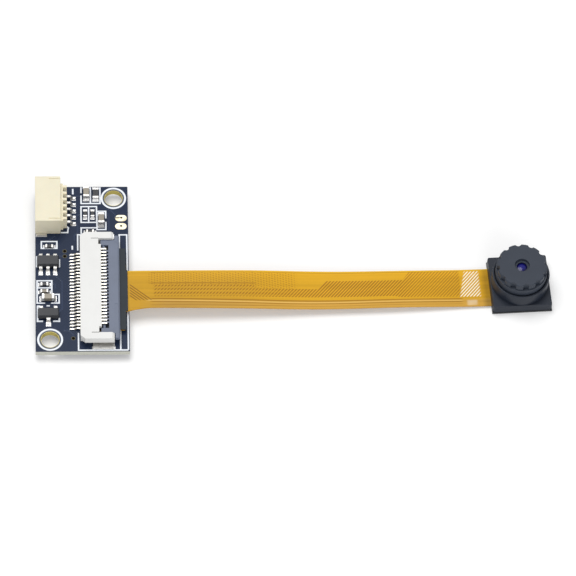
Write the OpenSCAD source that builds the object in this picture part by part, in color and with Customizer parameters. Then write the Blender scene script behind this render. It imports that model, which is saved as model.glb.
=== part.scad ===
// Camera module: a small board with a wire socket and a ribbon connector, a flat flexible
// ribbon, and a fixed-focus camera head at the ribbon's far end.
// Millimetres, +Z up, +X along the ribbon from the board to the head. The module lies on z = 0,
// on its controller chip and on the head's back plate.

/* [Board] */
// Width of the board, along the ribbon
board_w = 12.3; // [12.3:0.1:18]
// Length of the board, across the ribbon
board_l = 25.7; // [25.7:0.1:34]
// Thickness of the laminate
board_t = 0.8; // [0.6:0.1:1.6]
// Diameter of the two fixing holes
hole_d = 2.4; // [1.8:0.1:2.8]
// Centre of a fixing hole in from the long edge
hole_in_x = 1.9; // [1.7:0.05:2.2]
// Centre of a fixing hole in from the short edge
hole_in_y = 1.85; // [1.7:0.05:2.2]

/* [Wire socket] */
// Number of wires
socket_ways = 5; // [2:1:5]
// Distance from wire to wire
socket_pitch = 1.0; // [0.8:0.05:1.05]
// Width of the housing beyond the outer contacts, both sides together
socket_end_w = 3.0; // [2.8:0.1:3.4]
// Depth of the housing, mouth to back
socket_d = 4.2; // [4.1:0.05:4.6]
// Height of the housing
socket_h = 3.2; // [2.9:0.05:3.8]
// Thickness of the housing's walls
socket_wall = 0.5; // [0.4:0.05:0.6]
// Height of the low step at the back
socket_step_h = 2.3; // [2.1:0.05:2.5]
// Gap from the housing to the board's short edge
socket_gap = 0.4; // [0.3:0.05:0.5]

/* [Ribbon connector] */
// Number of contacts
ribbon_ways = 24; // [20:1:24]
// Distance from contact to contact
ribbon_pitch = 0.5; // [0.45:0.01:0.5]
// Thickness of a contact
contact_t = 0.2; // [0.15:0.01:0.24]
// Distance from the outer contacts to the arms
latch_end = 1.53; // [1.5:0.01:1.6]
// Width of each arm
arm_w = 0.97; // [0.9:0.01:1.2]
// Length of the arms, from the back of the housing
arm_l = 4.43; // [4.4:0.01:4.8]
// Gap from the arms to the board's long edge
arm_gap = 2.0; // [1.9:0.05:2.4]
// Gap from the connector to the board's short edge
connector_gap = 0.9; // [0.7:0.05:1.2]
// Radius of the latch's end pins
latch_pin_r = 0.25; // [0.2:0.01:0.27]
// Running clearance round the latch's end pins
latch_pin_play = 0.05; // [0.03:0.01:0.08]
// Thickness of the latch plate
latch_t = 0.54; // [0.45:0.01:0.56]

/* [Ribbon] */
// Distance from the board's edge to the camera head
ribbon_run = 47.7; // [30:0.1:80]
// Width of the long run
ribbon_w = 5.74; // [4:0.02:7]
// Width of the end in the connector, beyond the outer contacts
ribbon_end_w = 1.0; // [0.8:0.05:1.2]
// Thickness of the film
film_t = 0.12; // [0.1:0.01:0.2]
// Thickness of the stiffener on the ribbon's end
stiffener_t = 0.2; // [0.15:0.01:0.25]

/* [Camera head] */
// Side of the square holder at its base
head_w = 7.95; // [7.95:0.05:12]
// Height of the holder's square base above the film
head_base_h = 1.2; // [1.1:0.01:1.6]
// Outer diameter of the round boss
boss_d = 7.6; // [7.5:0.05:7.7]
// Height of the boss above the base
boss_h = 1.93; // [1.8:0.01:2.4]
// Turn of the head against the board, in degrees
head_turn = 3; // [0:0.25:6]
// Thickness of the plate behind the head
back_plate_t = 0.25; // [0.15:0.01:0.4]
// Draft of the holder's sides, in degrees
head_draft = 4; // [0:0.5:5]

/* [Lens barrel] */
// Diameter of the threaded part, at its crests
thread_d = 6.4; // [6.2:0.05:6.4]
// Running clearance round the threaded part
thread_play = 0.05; // [0.03:0.01:0.08]
// Diameter of the plain collar above the holder
collar_d = 6.84; // [6.7:0.02:6.86]
// Diameter of the finger grip
grip_d = 6.6; // [6.4:0.05:6.8]
// Height of the finger grip
grip_h = 1.0; // [0.7:0.05:1.3]
// Number of hollows round the finger grip
grip_hollows = 12; // [8:1:16]
// Height of the barrel above the boss
barrel_rise = 2; // [1.7:0.05:2.4]
// Room left under the collar for focusing
focus_room = 0.3; // [0.2:0.05:0.4]
// Diameter of the opening in the front
opening_d = 1.96; // [1.6:0.02:2.2]
// Diameter of the light stop under it
stop_d = 1.4; // [1.2:0.02:1.56]

/* [Chips] */
// Side of the square controller chip
controller_w = 7.0; // [5:0.1:7]
// Height of the controller chip
controller_h = 0.85; // [0.8:0.01:1.2]
// Thickness of the solder under the leadless chips
solder_t = 0.05; // [0.03:0.01:0.1]

/* [Hidden] */

$fn = 48;
eps = 0.01;

// Heights of the board, from the resting surface
board_z = controller_h + solder_t;
board_top = board_z + board_t;

// The module's own box is centred on the origin, so the board starts half the length to the left
head_reach = head_w / 2 * (cos(head_turn) + sin(head_turn));
head_from_board = board_w + ribbon_run + head_w / 2;
board_x = -(head_from_board + head_reach) / 2;
board_far = board_l / 2;
board_near = -board_l / 2;

// ---- general shapes ----

// Draws a side view, given as x and z, across the part by a width centred on y = 0
module across(w) {
    rotate([90, 0, 0]) linear_extrude(w, center = true) children();
}

// A block between two corners
module block(low, high) {
    translate(low) cube(high - low);
}

function heading(a, b) = (b - a) / norm(b - a);

// Offset direction of a strip at one of its points, lengthened at a bend
function mitre(path, i) =
    let(last = len(path) - 1,
        before = heading(path[max(i - 1, 0)], path[max(i, 1)]),
        after = heading(path[min(i, last - 1)], path[min(i + 1, last)]),
        middle = (before + after) / norm(before + after))
    [-middle.y, middle.x] / (middle * before);

// Side view of a strip of metal bent along a path
module strip(path, t) {
    last = len(path) - 1;
    polygon(concat(
        [for (i = [0:last]) path[i] + mitre(path, i) * t / 2],
        [for (i = [last:-1:0]) path[i] - mitre(path, i) * t / 2]));
}

// Replaces each corner of a path by three points of a round bend
function round_bends(path, r) = concat(
    [path[0]],
    [for (i = [1:len(path) - 2])
        let(before = heading(path[i - 1], path[i]), after = heading(path[i], path[i + 1]))
        each [path[i] - before * r, path[i] + (after - before) * r * 0.29, path[i] + after * r]],
    [path[len(path) - 1]]);

// A moulded block with drafted sides and small corner chamfers, standing on z = 0
module drafted_block(w, l, h, draft, chamfer) {
    inset = h * tan(draft);
    intersection() {
        across(l) polygon([[-w / 2, 0], [w / 2, 0], [w / 2 - inset, h], [-w / 2 + inset, h]]);
        rotate([0, 0, 90]) across(w)
            polygon([[-l / 2, 0], [l / 2, 0], [l / 2 - inset, h], [-l / 2 + inset, h]]);
        linear_extrude(h) chamfered_square(w, l, chamfer);
    }
}

module chamfered_square(w, l, c) {
    polygon([
        [-w / 2 + c, -l / 2], [w / 2 - c, -l / 2], [w / 2, -l / 2 + c], [w / 2, l / 2 - c],
        [w / 2 - c, l / 2], [-w / 2 + c, l / 2], [-w / 2, l / 2 - c], [-w / 2, -l / 2 + c]]);
}

// ---- frames ----

// On the board's top, measured from its left edge and its far edge
module from_far(p) {
    translate([board_x + p.x, board_far - p.y, board_top]) children();
}

// On the board's top, measured from its left edge and its near edge
module from_near(p) {
    translate([board_x + p.x, board_near + p.y, board_top]) children();
}

// Hanging under the board, measured from its left edge and its middle line
module underside(p) {
    translate([board_x + p.x, p.y, board_z]) mirror([0, 0, 1]) children();
}

// ---- board ----

holes = [
    [board_x + board_w - hole_in_x, board_far - hole_in_y],
    [board_x + hole_in_x, board_near + hole_in_y]
];

module circuit_board() {
    color([0.10, 0.12, 0.17])
    difference() {
        block([board_x, board_near, board_z], [board_x + board_w, board_far, board_top]);
        for (h = holes)
            translate([h.x, h.y, board_z - 1]) cylinder(d = hole_d, h = board_t + 2);
    }
}

// ---- wire socket, mouth towards -X, measured from the mouth's face and the socket's middle ----

socket_span = (socket_ways - 1) * socket_pitch;
socket_w = socket_span + socket_end_w;
socket_main_d = socket_d - 0.85;
socket_step_w = socket_span + socket_pitch * 1.9;
socket_back = socket_main_d - 0.75;
pin_w = 0.3;
pin_t = 0.2;
pin_z = socket_h / 2;
pin_leg_x = socket_d - 0.35;
pin_out_z = 0.55;
pin_bend = [0.48, 0.72];
pin_foot = 1.1;
socket_tab_out = socket_gap;
socket_tab_t = 0.2;
socket_tab_l = 1.35;
socket_tab_in = 0.25;
rib_w = 0.35;
play = 0.01;

module at_socket() {
    from_far([0, socket_gap + socket_w / 2]) children();
}

module each_socket_way() {
    for (i = [0:socket_ways - 1]) translate([0, i * socket_pitch - socket_span / 2, 0]) children();
}

module socket_tab_seats(grow) {
    for (side = [-1, 1]) scale([1, side, 1]) {
        y = socket_w / 2;
        block([0.1 - grow, y - socket_tab_in - grow, -eps * sign(grow)],
              [0.1 + socket_tab_l + grow, y + socket_tab_out, socket_tab_t + grow]);
        block([0.3 - grow, y - socket_tab_in - grow, 0],
              [0.1 + socket_tab_l - 0.2 + grow, y - socket_tab_in + socket_tab_t + grow, 1.3]);
    }
}

module wire_socket_housing() {
    mouth_w = socket_w - 2 * socket_wall;
    groove_y = socket_w / 2 - 0.35;
    color([0.93, 0.88, 0.74])
    at_socket() difference() {
        union() {
            block([0, -socket_w / 2, 0], [socket_main_d, socket_w / 2, socket_h]);
            block([socket_main_d - eps, -socket_step_w / 2, 0],
                  [socket_d - 0.5, socket_step_w / 2, socket_step_h]);
            for (i = [0:socket_ways])
                translate([0, (i - 0.5) * socket_pitch - socket_span / 2, 0])
                    block([socket_d - 0.5 - eps, -rib_w / 2, 0], [socket_d, rib_w / 2, socket_step_h]);
        }
        // mouth
        block([-1, -mouth_w / 2, socket_wall], [socket_back, mouth_w / 2, socket_h - socket_wall]);
        // key grooves beside the mouth
        for (side = [-1, 1]) scale([1, side, 1])
            block([-1, mouth_w / 2 - eps, pin_z + 0.15],
                  [socket_back - 0.5, mouth_w / 2 + 0.2, pin_z + 0.65]);
        // mould lines on the top
        for (side = [-1, 1]) scale([1, side, 1])
            block([socket_back - 0.8, groove_y - 0.06, socket_h - 0.1],
                  [socket_main_d + 1, groove_y + 0.06, socket_h + 1]);
        // passages for the contacts
        each_socket_way()
            block([socket_back - 1, -pin_w / 2 - play, pin_z - pin_t / 2 - play],
                  [socket_d, pin_w / 2 + play, pin_z + pin_t / 2 + play]);
        socket_tab_seats(play);
    }
}

module wire_socket_contacts() {
    // straight back, down behind the wall, out above the board and down to its pad
    route = [[0.9, pin_z], [pin_leg_x, pin_z], [pin_leg_x, pin_out_z], [socket_d + pin_bend[0], pin_out_z],
             [socket_d + pin_bend[1], pin_t / 2], [socket_d + pin_foot, pin_t / 2]];
    color([0.85, 0.83, 0.78])
    at_socket() each_socket_way() across(pin_w) strip(round_bends(route, 0.1), pin_t);
}

module wire_socket_tabs() {
    color([0.80, 0.80, 0.80])
    at_socket() socket_tab_seats(0);
}

// ---- ribbon connector, measured from the housing's back face and the contacts' middle ----

ribbon_span = (ribbon_ways - 1) * ribbon_pitch;
arm_in = ribbon_span / 2 + latch_end;
arm_out = arm_in + arm_w;
connector_l = 2 * arm_out;
ribbon_y = board_near + connector_gap + connector_l / 2;
touch_z = 0.5;
floor_z = 0.4;
stack_z = touch_z + film_t + stiffener_t;
latch_z = stack_z + 0.04;
pivot_x = 3.12;
pivot_z = latch_z + 0.26;
latch_top = latch_z + latch_t;
cam_r = 0.2;
beam_t = 0.2;
beam_z = pivot_z + cam_r + 0.06;
beam_tip_x = 3.46;
nib_w = 0.1;
roof_z = beam_z - 0.02;
roof_top = beam_z + beam_t + 0.22;
roof_x = 2.76;
roof_end_x = 2.43;
back_wall = 0.75;
latch_edge_x = 5.18;
latch_wing_x = 4.55;
latch_slot_x = 3.74;
latch_side_play = 0.08;
cut_z = 0.75;
foot_w = 0.27;
conn_tab_x0 = 1.62;
conn_tab_l = 2.8;
conn_tab_t = 0.2;

module at_connector() {
    translate([board_x + board_w - arm_gap - arm_l, ribbon_y, board_top]) children();
}

module each_ribbon_way() {
    for (i = [0:ribbon_ways - 1]) translate([0, i * ribbon_pitch - ribbon_span / 2, 0]) children();
}

module ribbon_connector_housing() {
    chamfer = 0.6;
    bay = ribbon_span / 2 + 0.6;
    color([0.93, 0.93, 0.91])
    at_connector() difference() {
        intersection() {
            union() {
                // back wall and floor
                across(2 * arm_in + eps) polygon([
                    [0, 0.08], [arm_l, 0.08], [arm_l, floor_z], [back_wall, floor_z],
                    [back_wall, roof_z + eps], [0, roof_z + eps]]);
                // roof, longer over the contacts
                block([0, -arm_in - eps, roof_z], [roof_end_x, arm_in + eps, roof_top]);
                block([0, -bay, roof_z], [roof_x, bay, roof_top]);
                // arms, standing on thin feet
                for (side = [-1, 1]) translate([0, side * (arm_in + arm_w / 2), 0])
                    across(arm_w) polygon([
                        [0, cut_z], [arm_l, cut_z], [arm_l, roof_top - 0.3],
                        [arm_l - 0.3, roof_top], [0, roof_top]]);
                for (side = [-1, 1]) scale([1, side, 1])
                    block([0, arm_in, 0], [arm_l, arm_in + foot_w, cut_z + eps]);
            }
            linear_extrude(roof_top + 1) polygon([
                [chamfer, -arm_out], [arm_l + 1, -arm_out], [arm_l + 1, arm_out],
                [chamfer, arm_out], [0, arm_out - chamfer * 0.9], [0, -arm_out + chamfer * 0.9]]);
        }
        // a slot for each contact
        each_ribbon_way()
            block([-1, -contact_t / 2 - play, -1],
                  [arm_l - 0.65, contact_t / 2 + play, beam_z + beam_t + 0.02]);
        // bearings of the latch's end pins, blind from inside
        for (side = [-1, 1])
            translate([pivot_x, side * (arm_in - 0.2), pivot_z]) rotate([-side * 90, 0, 0])
                cylinder(r = latch_pin_r + latch_pin_play, h = 0.2 + 0.62);
        // shallow lines between the roof and the arms
        for (side = [-1, 1]) scale([1, side, 1])
            block([1.45, arm_in - 0.06, roof_top - 0.3], [roof_end_x + eps, arm_in + 0.06, roof_top + 1]);
    }
}

module contact_profile() {
    // tail from the pad up into the back wall
    strip([[-1.32, 0.07], [-0.8, 0.07], [-0.42, 0.3], [0.3, 0.3]], 0.14);
    // spine
    translate([0.15, 0.19]) square([0.42, beam_z + beam_t - 0.19]);
    // spring under the ribbon
    strip([[0.3, 0.27], [2.4, 0.27], [3.1, touch_z - 0.08], [3.3, touch_z - 0.08],
           [3.5, touch_z - 0.14]], 0.16);
    // beam over the latch's cam, with a nib at its tip
    translate([0.15, beam_z]) square([beam_tip_x - 0.15, beam_t]);
    translate([beam_tip_x - nib_w, pivot_z + 0.08]) square([nib_w, beam_z + beam_t - pivot_z - 0.08]);
}

module ribbon_connector_contacts() {
    color([0.86, 0.85, 0.82])
    at_connector() each_ribbon_way() across(contact_t) contact_profile();
}

module ribbon_connector_latch() {
    side = arm_in - latch_side_play;
    wing = arm_in + 0.62;
    bevel = 0.2;
    end_slot = ribbon_span / 2 + 0.67;
    slot_w = contact_t + 0.12;
    color([0.26, 0.28, 0.33])
    at_connector() {
        difference() {
            union() {
                across(2 * side) polygon([
                    [pivot_x, latch_z], [latch_edge_x, latch_z], [latch_edge_x, latch_top - bevel],
                    [latch_edge_x - bevel, latch_top], [pivot_x, latch_top]]);
                across(2 * wing) polygon([
                    [latch_wing_x, latch_z], [latch_edge_x, latch_z], [latch_edge_x, latch_top - bevel],
                    [latch_edge_x - bevel, latch_top], [latch_wing_x, latch_top]]);
            }
            // slots that let the contact beams through
            each_ribbon_way() block([-1, -slot_w / 2, -1], [latch_slot_x, slot_w / 2, 3]);
            for (s = [-1, 1]) scale([1, s, 1])
                block([-1, ribbon_span / 2, -1], [latch_slot_x, end_slot, 3]);
            // two shallow marks of the mould
            for (y = [ribbon_span / 2 + 1, -ribbon_span / 4])
                block([4.5, y - 0.2, latch_top - 0.03], [4.9, y + 0.2, latch_top + 1]);
        }
        // end blocks round the pivot
        for (s = [-1, 1]) scale([1, s, 1])
            block([pivot_x - 0.4, end_slot, latch_z], [pivot_x + 0.1, side, latch_top]);
        // cam rod under the contact beams
        translate([pivot_x, 0, pivot_z]) rotate([90, 0, 0])
            cylinder(r = cam_r, h = 2 * end_slot + 0.1, center = true);
        // end pins
        for (s = [-1, 1])
            translate([pivot_x, s * (side - 0.1), pivot_z]) rotate([-s * 90, 0, 0])
                cylinder(r = latch_pin_r, h = 0.1 + latch_side_play + 0.55);
    }
}

module ribbon_connector_tabs() {
    color([0.78, 0.79, 0.80])
    at_connector() for (side = [-1, 1]) scale([1, side, 1]) {
        inner = arm_in + foot_w;
        difference() {
            union() {
                block([conn_tab_x0, inner, 0],
                      [conn_tab_x0 + conn_tab_l, min(arm_out + 0.6, board_l), conn_tab_t]);
                block([conn_tab_x0, inner, 0], [conn_tab_x0 + conn_tab_l, inner + conn_tab_t, cut_z]);
            }
            // relief hole at the bend
            translate([conn_tab_x0 + 0.9, arm_out + 0.3, -1]) cylinder(r = 0.2, h = 2);
        }
    }
}

// ---- moulded chips with bent leads ----

// Body with a parting line at half height, drafted both ways
module moulded_body(w, l, h, lift) {
    in = 0.12;
    mid = lift + (h - lift) / 2;
    intersection() {
        across(l) polygon([[-w / 2 + in, lift], [w / 2 - in, lift], [w / 2, mid],
                           [w / 2 - in, h], [-w / 2 + in, h], [-w / 2, mid]]);
        rotate([0, 0, 90]) across(w)
            polygon([[-l / 2 + in, lift], [l / 2 - in, lift], [l / 2, mid],
                     [l / 2 - in, h], [-l / 2 + in, h], [-l / 2, mid]]);
    }
}

// One gull-wing lead that leaves the body towards -Y
module gull_lead(body_l, h, lift, lead_w, reach, t) {
    mid = lift + (h - lift) / 2;
    start = body_l / 2;
    route = [[start, mid], [start + 0.28, mid], [start + reach - 0.35, t / 2], [start + reach, t / 2]];
    rotate([0, 0, -90]) across(lead_w) strip(round_bends(route, 0.1), t);
}

regulator = [1.66, 13.57];
regulator_size = [2.9, 1.6, 1.1];
transistor = [1.7, 5.57];
transistor_size = [2.8, 1.4, 1.0];
chip_lift = 0.08;
lead_t = 0.14;
lead_pitch = 0.95;

module regulator_body() {
    color([0.13, 0.13, 0.14])
    from_near(regulator) moulded_body(regulator_size.x, regulator_size.y, regulator_size.z, chip_lift);
}

module regulator_leads() {
    color([0.80, 0.80, 0.80])
    from_near(regulator) for (turn = [0, 180], i = [-1:1])
        rotate([0, 0, turn]) translate([i * lead_pitch, 0, 0])
            gull_lead(regulator_size.y, regulator_size.z, chip_lift, 0.42, 0.68, lead_t);
}

module transistor_body() {
    color([0.12, 0.12, 0.13])
    from_near(transistor)
        moulded_body(transistor_size.x, transistor_size.y, transistor_size.z, chip_lift);
}

module transistor_leads() {
    color([0.80, 0.80, 0.80])
    from_near(transistor) {
        gull_lead(transistor_size.y, transistor_size.z, chip_lift, 0.5, 0.68, lead_t);
        for (i = [-1, 1]) rotate([0, 0, 180]) translate([i * lead_pitch, 0, 0])
            gull_lead(transistor_size.y, transistor_size.z, chip_lift, 0.42, 0.68, lead_t);
    }
}

// ---- chip capacitors and resistors: length, width, height and end cap ----

CAP_BIG = [1.6, 0.8, 0.8, 0.32];
CAP_SMALL = [1.0, 0.5, 0.5, 0.22];
RES_BIG = [1.6, 0.8, 0.45, 0.3];
RES_SMALL = [1.0, 0.5, 0.35, 0.22];
cap_wall = 0.04;

// The part between the caps, and its ends inside them
module chip_core(size) {
    translate([0, 0, cap_wall + (size.z - 2 * cap_wall) / 2])
        cube([size.x - 2 * cap_wall, size.y - 2 * cap_wall, size.z - 2 * cap_wall], center = true);
}

module chip_caps(size) {
    for (side = [-1, 1]) difference() {
        translate([side * (size.x - size[3]) / 2, 0, size.z / 2])
            cube([size[3], size.y, size.z], center = true);
        chip_core(size);
    }
}

// Places on the board's top: kind, position and turn
TOP_FAR = [
    [CAP_BIG, [6.78, 1.2], 90], [RES_BIG, [8.03, 1.22], 90],
    [RES_SMALL, [6.62, 4.4], 90], [RES_SMALL, [7.6, 4.4], 90],
    [CAP_BIG, [8.75, 5.35], 90], [RES_SMALL, [7.25, 7.2], 0]
];
TOP_NEAR = [
    [RES_SMALL, [1.84, 16.2], 0], [RES_SMALL, [1.18, 10.3], 0],
    [CAP_SMALL, [1.18, 9.12], 0], [CAP_BIG, [1.66, 8.12], 0]
];
UNDERSIDE = [
    [CAP_SMALL, [1.35, 3.4], 90], [CAP_SMALL, [1.35, 1.6], 90], [CAP_SMALL, [1.35, -0.4], 90],
    [CAP_SMALL, [10.95, 3.4], 90], [CAP_SMALL, [10.95, 1.6], 90], [RES_SMALL, [10.95, -0.4], 90],
    [RES_SMALL, [3.4, 5.4], 90], [RES_SMALL, [4.6, 5.4], 90], [CAP_SMALL, [5.8, 5.4], 90],
    [CAP_SMALL, [8.2, 5.4], 90], [RES_SMALL, [9.4, 5.4], 90],
    [CAP_BIG, [3.2, 8.2], 0], [CAP_BIG, [6.2, 8.2], 0], [RES_SMALL, [8.7, 8.0], 0],
    [CAP_SMALL, [1.3, -5.0], 90], [CAP_SMALL, [1.3, -7.0], 90], [CAP_SMALL, [9.2, -8.7], 0],
    [RES_SMALL, [6.9, -8.9], 90], [RES_SMALL, [5.8, -8.9], 90]
];

function is_cap(chip) = chip[0] == CAP_BIG || chip[0] == CAP_SMALL;

module on_top(caps) {
    for (chip = TOP_FAR) if (is_cap(chip) == caps)
        from_far(chip[1]) rotate([0, 0, chip[2]]) { $chip = chip[0]; children(); }
    for (chip = TOP_NEAR) if (is_cap(chip) == caps)
        from_near(chip[1]) rotate([0, 0, chip[2]]) { $chip = chip[0]; children(); }
}

module on_underside(caps) {
    for (chip = UNDERSIDE) if (is_cap(chip) == caps)
        underside(chip[1]) rotate([0, 0, chip[2]]) { $chip = chip[0]; children(); }
}

module capacitor_bodies() {
    color([0.62, 0.55, 0.46]) on_top(true) chip_core($chip);
}

module capacitor_ends() {
    color([0.82, 0.82, 0.82]) on_top(true) chip_caps($chip);
}

module resistor_bodies() {
    color([0.12, 0.12, 0.13]) on_top(false) chip_core($chip);
}

module resistor_ends() {
    color([0.82, 0.82, 0.82]) on_top(false) chip_caps($chip);
}

module underside_capacitor_bodies() {
    color([0.62, 0.55, 0.46]) on_underside(true) chip_core($chip);
}

module underside_capacitor_ends() {
    color([0.82, 0.82, 0.82]) on_underside(true) chip_caps($chip);
}

module underside_resistor_bodies() {
    color([0.12, 0.12, 0.13]) on_underside(false) chip_core($chip);
}

module underside_resistor_ends() {
    color([0.82, 0.82, 0.82]) on_underside(false) chip_caps($chip);
}

// ---- leadless chips under the board ----

leadless_pad = [0.45, 0.25, 0.2];

// Pads along the sides of a leadless chip, reaching through the solder to the board
module leadless_pads(w, l, per_x_side, per_y_side, pitch) {
    for (side = [-1, 1]) {
        for (i = [0:1:per_x_side - 1])
            translate([side * (w / 2 - leadless_pad.x / 2), (i - (per_x_side - 1) / 2) * pitch, 0])
                translate([-leadless_pad.x / 2, -leadless_pad.y / 2, 0])
                    cube([leadless_pad.x, leadless_pad.y, solder_t + leadless_pad.z]);
        for (i = [0:1:per_y_side - 1])
            translate([(i - (per_y_side - 1) / 2) * pitch, side * (l / 2 - leadless_pad.x / 2), 0])
                translate([-leadless_pad.y / 2, -leadless_pad.x / 2, 0])
                    cube([leadless_pad.y, leadless_pad.x, solder_t + leadless_pad.z]);
    }
}

controller = [6.15, 0.7];
controller_ways = floor((controller_w - 1.5) / 0.5) + 1;
memory = [9.2, -6.2];
memory_size = [3.0, 2.0, 0.6];
crystal = [4.1, -6.0];
crystal_size = [3.2, 2.5, 0.45];
crystal_lid_t = 0.2;

module controller_body() {
    color([0.11, 0.11, 0.12])
    underside(controller) difference() {
        translate([-controller_w / 2, -controller_w / 2, solder_t])
            cube([controller_w, controller_w, controller_h]);
        leadless_pads(controller_w, controller_w, controller_ways, controller_ways, 0.5);
    }
}

module controller_pads() {
    color([0.80, 0.80, 0.80])
    underside(controller)
        leadless_pads(controller_w, controller_w, controller_ways, controller_ways, 0.5);
}

module memory_body() {
    color([0.11, 0.11, 0.12])
    underside(memory) difference() {
        translate([-memory_size.x / 2, -memory_size.y / 2, solder_t]) cube(memory_size);
        leadless_pads(memory_size.x, memory_size.y, 0, 4, 0.6);
    }
}

module memory_pads() {
    color([0.80, 0.80, 0.80])
    underside(memory) leadless_pads(memory_size.x, memory_size.y, 0, 4, 0.6);
}

// Ceramic base with a quarter-round bite out of each corner
module crystal_base() {
    color([0.35, 0.30, 0.27])
    underside(crystal) difference() {
        translate([-crystal_size.x / 2, -crystal_size.y / 2, 0]) cube(crystal_size);
        for (x = [-1, 1], y = [-1, 1])
            translate([x * crystal_size.x / 2, y * crystal_size.y / 2, -1]) cylinder(r = 0.22, h = 3);
    }
}

module crystal_lid() {
    color([0.80, 0.78, 0.72])
    underside(crystal) translate([0, 0, crystal_size.z])
        drafted_block(crystal_size.x - 0.4, crystal_size.y - 0.4, crystal_lid_t, 20, 0.25);
}

// ---- ribbon ----

end_x = board_x + board_w - arm_gap - arm_l + back_wall + 0.2;
end_half = ribbon_span / 2 + ribbon_end_w / 2;
shoulder_x = board_x + board_w - 0.44;
run_x = board_x + board_w - 0.06;
run_half = ribbon_w / 2;
flare = 0.48;
flare_l = 3.2;
head_x = board_x + head_from_board;
pad_half = head_w / 2 - 0.25;
film_start_z = board_top + touch_z;
film_end_z = back_plate_t;

// The run bends sideways as an arc, so that it meets the turned head square
run_l = head_x - head_w / 2 - run_x;
function run_side(t) = ribbon_y + run_l * tan(head_turn) / 2 * t * t;
// In height it leaves the connector rising slightly and comes down to the head in one curve
start_rise = 1.0;
end_fall = 0.6;
function run_height(t) =
    (2 * pow(t, 3) - 3 * t * t + 1) * film_start_z + (pow(t, 3) - 2 * t * t + t) * start_rise
    + (3 * t * t - 2 * pow(t, 3)) * film_end_z - (pow(t, 3) - t * t) * end_fall;
head_y = run_side(1) + head_w / 2 * tan(head_turn);

// One section across the film: centre, turn, reach to the far and near sides, underside height
function section(x, y, turn, far, near, z) = [
    [x - far * sin(turn), y + far * cos(turn), z],
    [x + near * sin(turn), y - near * cos(turn), z],
    [x + near * sin(turn), y - near * cos(turn), z + film_t],
    [x - far * sin(turn), y + far * cos(turn), z + film_t]];

run_steps = 36;
shoulder_steps = 4;
shoulder_r = 0.3;

function ribbon_sections() = concat(
    [section(end_x, ribbon_y, 0, end_half, end_half, film_start_z)],
    // round the shoulder into the neck
    [for (i = [0:shoulder_steps]) let(a = 90 * i / shoulder_steps, in = shoulder_r * (1 - cos(a)))
        section(shoulder_x - shoulder_r + shoulder_r * sin(a), ribbon_y, 0,
                end_half - in, end_half - in, film_start_z)],
    [section(shoulder_x + 0.01, ribbon_y, 0, run_half, run_half + flare, film_start_z)],
    // the long run
    [for (i = [0:run_steps]) let(t = i / run_steps, f = min(1, t * run_l / flare_l))
        section(run_x + run_l * t, run_side(t), atan(tan(head_turn) * t), run_half,
                run_half + flare * pow(1 - f, 2), run_height(t))],
    // the square under the head
    [section(head_x - pad_half * cos(head_turn), head_y - pad_half * sin(head_turn), head_turn,
             run_half, run_half, film_end_z),
     section(head_x - (pad_half - 0.01) * cos(head_turn), head_y - (pad_half - 0.01) * sin(head_turn),
             head_turn, pad_half, pad_half, film_end_z),
     section(head_x + pad_half * cos(head_turn), head_y + pad_half * sin(head_turn), head_turn,
             pad_half, pad_half, film_end_z)]);

module flex_ribbon() {
    rings = ribbon_sections();
    last = len(rings) - 1;
    color([0.80, 0.60, 0.16])
    polyhedron(
        points = [for (ring = rings) each ring],
        faces = concat(
            [[0, 1, 2, 3]],
            [for (i = [0:last - 1], k = [0:3]) let(a = 4 * i + k, b = 4 * i + (k + 1) % 4)
                each [[a, a + 4, b + 4], [a, b + 4, b]]],
            [[4 * last + 3, 4 * last + 2, 4 * last + 1, 4 * last]]));
}

module ribbon_stiffener() {
    tail = 0.25;
    color([0.20, 0.22, 0.25])
    translate([0, 0, film_start_z + film_t]) linear_extrude(stiffener_t) polygon([
        [end_x, ribbon_y - end_half], [shoulder_x, ribbon_y - end_half],
        [shoulder_x, ribbon_y - run_half - flare], [shoulder_x + tail, ribbon_y - run_half - flare],
        [shoulder_x + tail, ribbon_y + run_half], [shoulder_x, ribbon_y + run_half],
        [shoulder_x, ribbon_y + end_half], [end_x, ribbon_y + end_half]]);
}

// ---- camera head, turned about its own middle ----

module at_head(z = 0) {
    translate([head_x, head_y, z]) rotate([0, 0, head_turn]) children();
}

film_top = back_plate_t + film_t;
base_top = film_top + head_base_h;
boss_top = base_top + boss_h;
sensor_size = [5.0, 4.6, 0.35];
sensor_glass_t = 0.4;
filter_w = 4.8;
filter_t = 0.3;
filter_z = film_top + sensor_size.z + sensor_glass_t + 0.13;
shelf_z = filter_z + filter_t;
shelf_t = 0.4;
window_w = 4.0;
chamber_w = 6.0;
bore_r = thread_d / 2 + thread_play;
rim_wall = 0.28;
rim_depth = 0.5;

module head_back_plate() {
    color([0.13, 0.13, 0.14])
    at_head() translate([-head_w / 2, -head_w / 2, 0]) cube([head_w, head_w, back_plate_t]);
}

module image_sensor() {
    color([0.20, 0.22, 0.26])
    at_head(film_top) translate([0, 0, sensor_size.z / 2]) cube(sensor_size, center = true);
}

module sensor_glass() {
    color([0.55, 0.65, 0.70])
    at_head(film_top + sensor_size.z) translate([0, 0, sensor_glass_t / 2])
        cube([sensor_size.x, sensor_size.y, sensor_glass_t], center = true);
}

module infrared_filter() {
    color([0.45, 0.75, 0.80])
    at_head(filter_z) translate([0, 0, filter_t / 2]) cube([filter_w, filter_w, filter_t], center = true);
}

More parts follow.
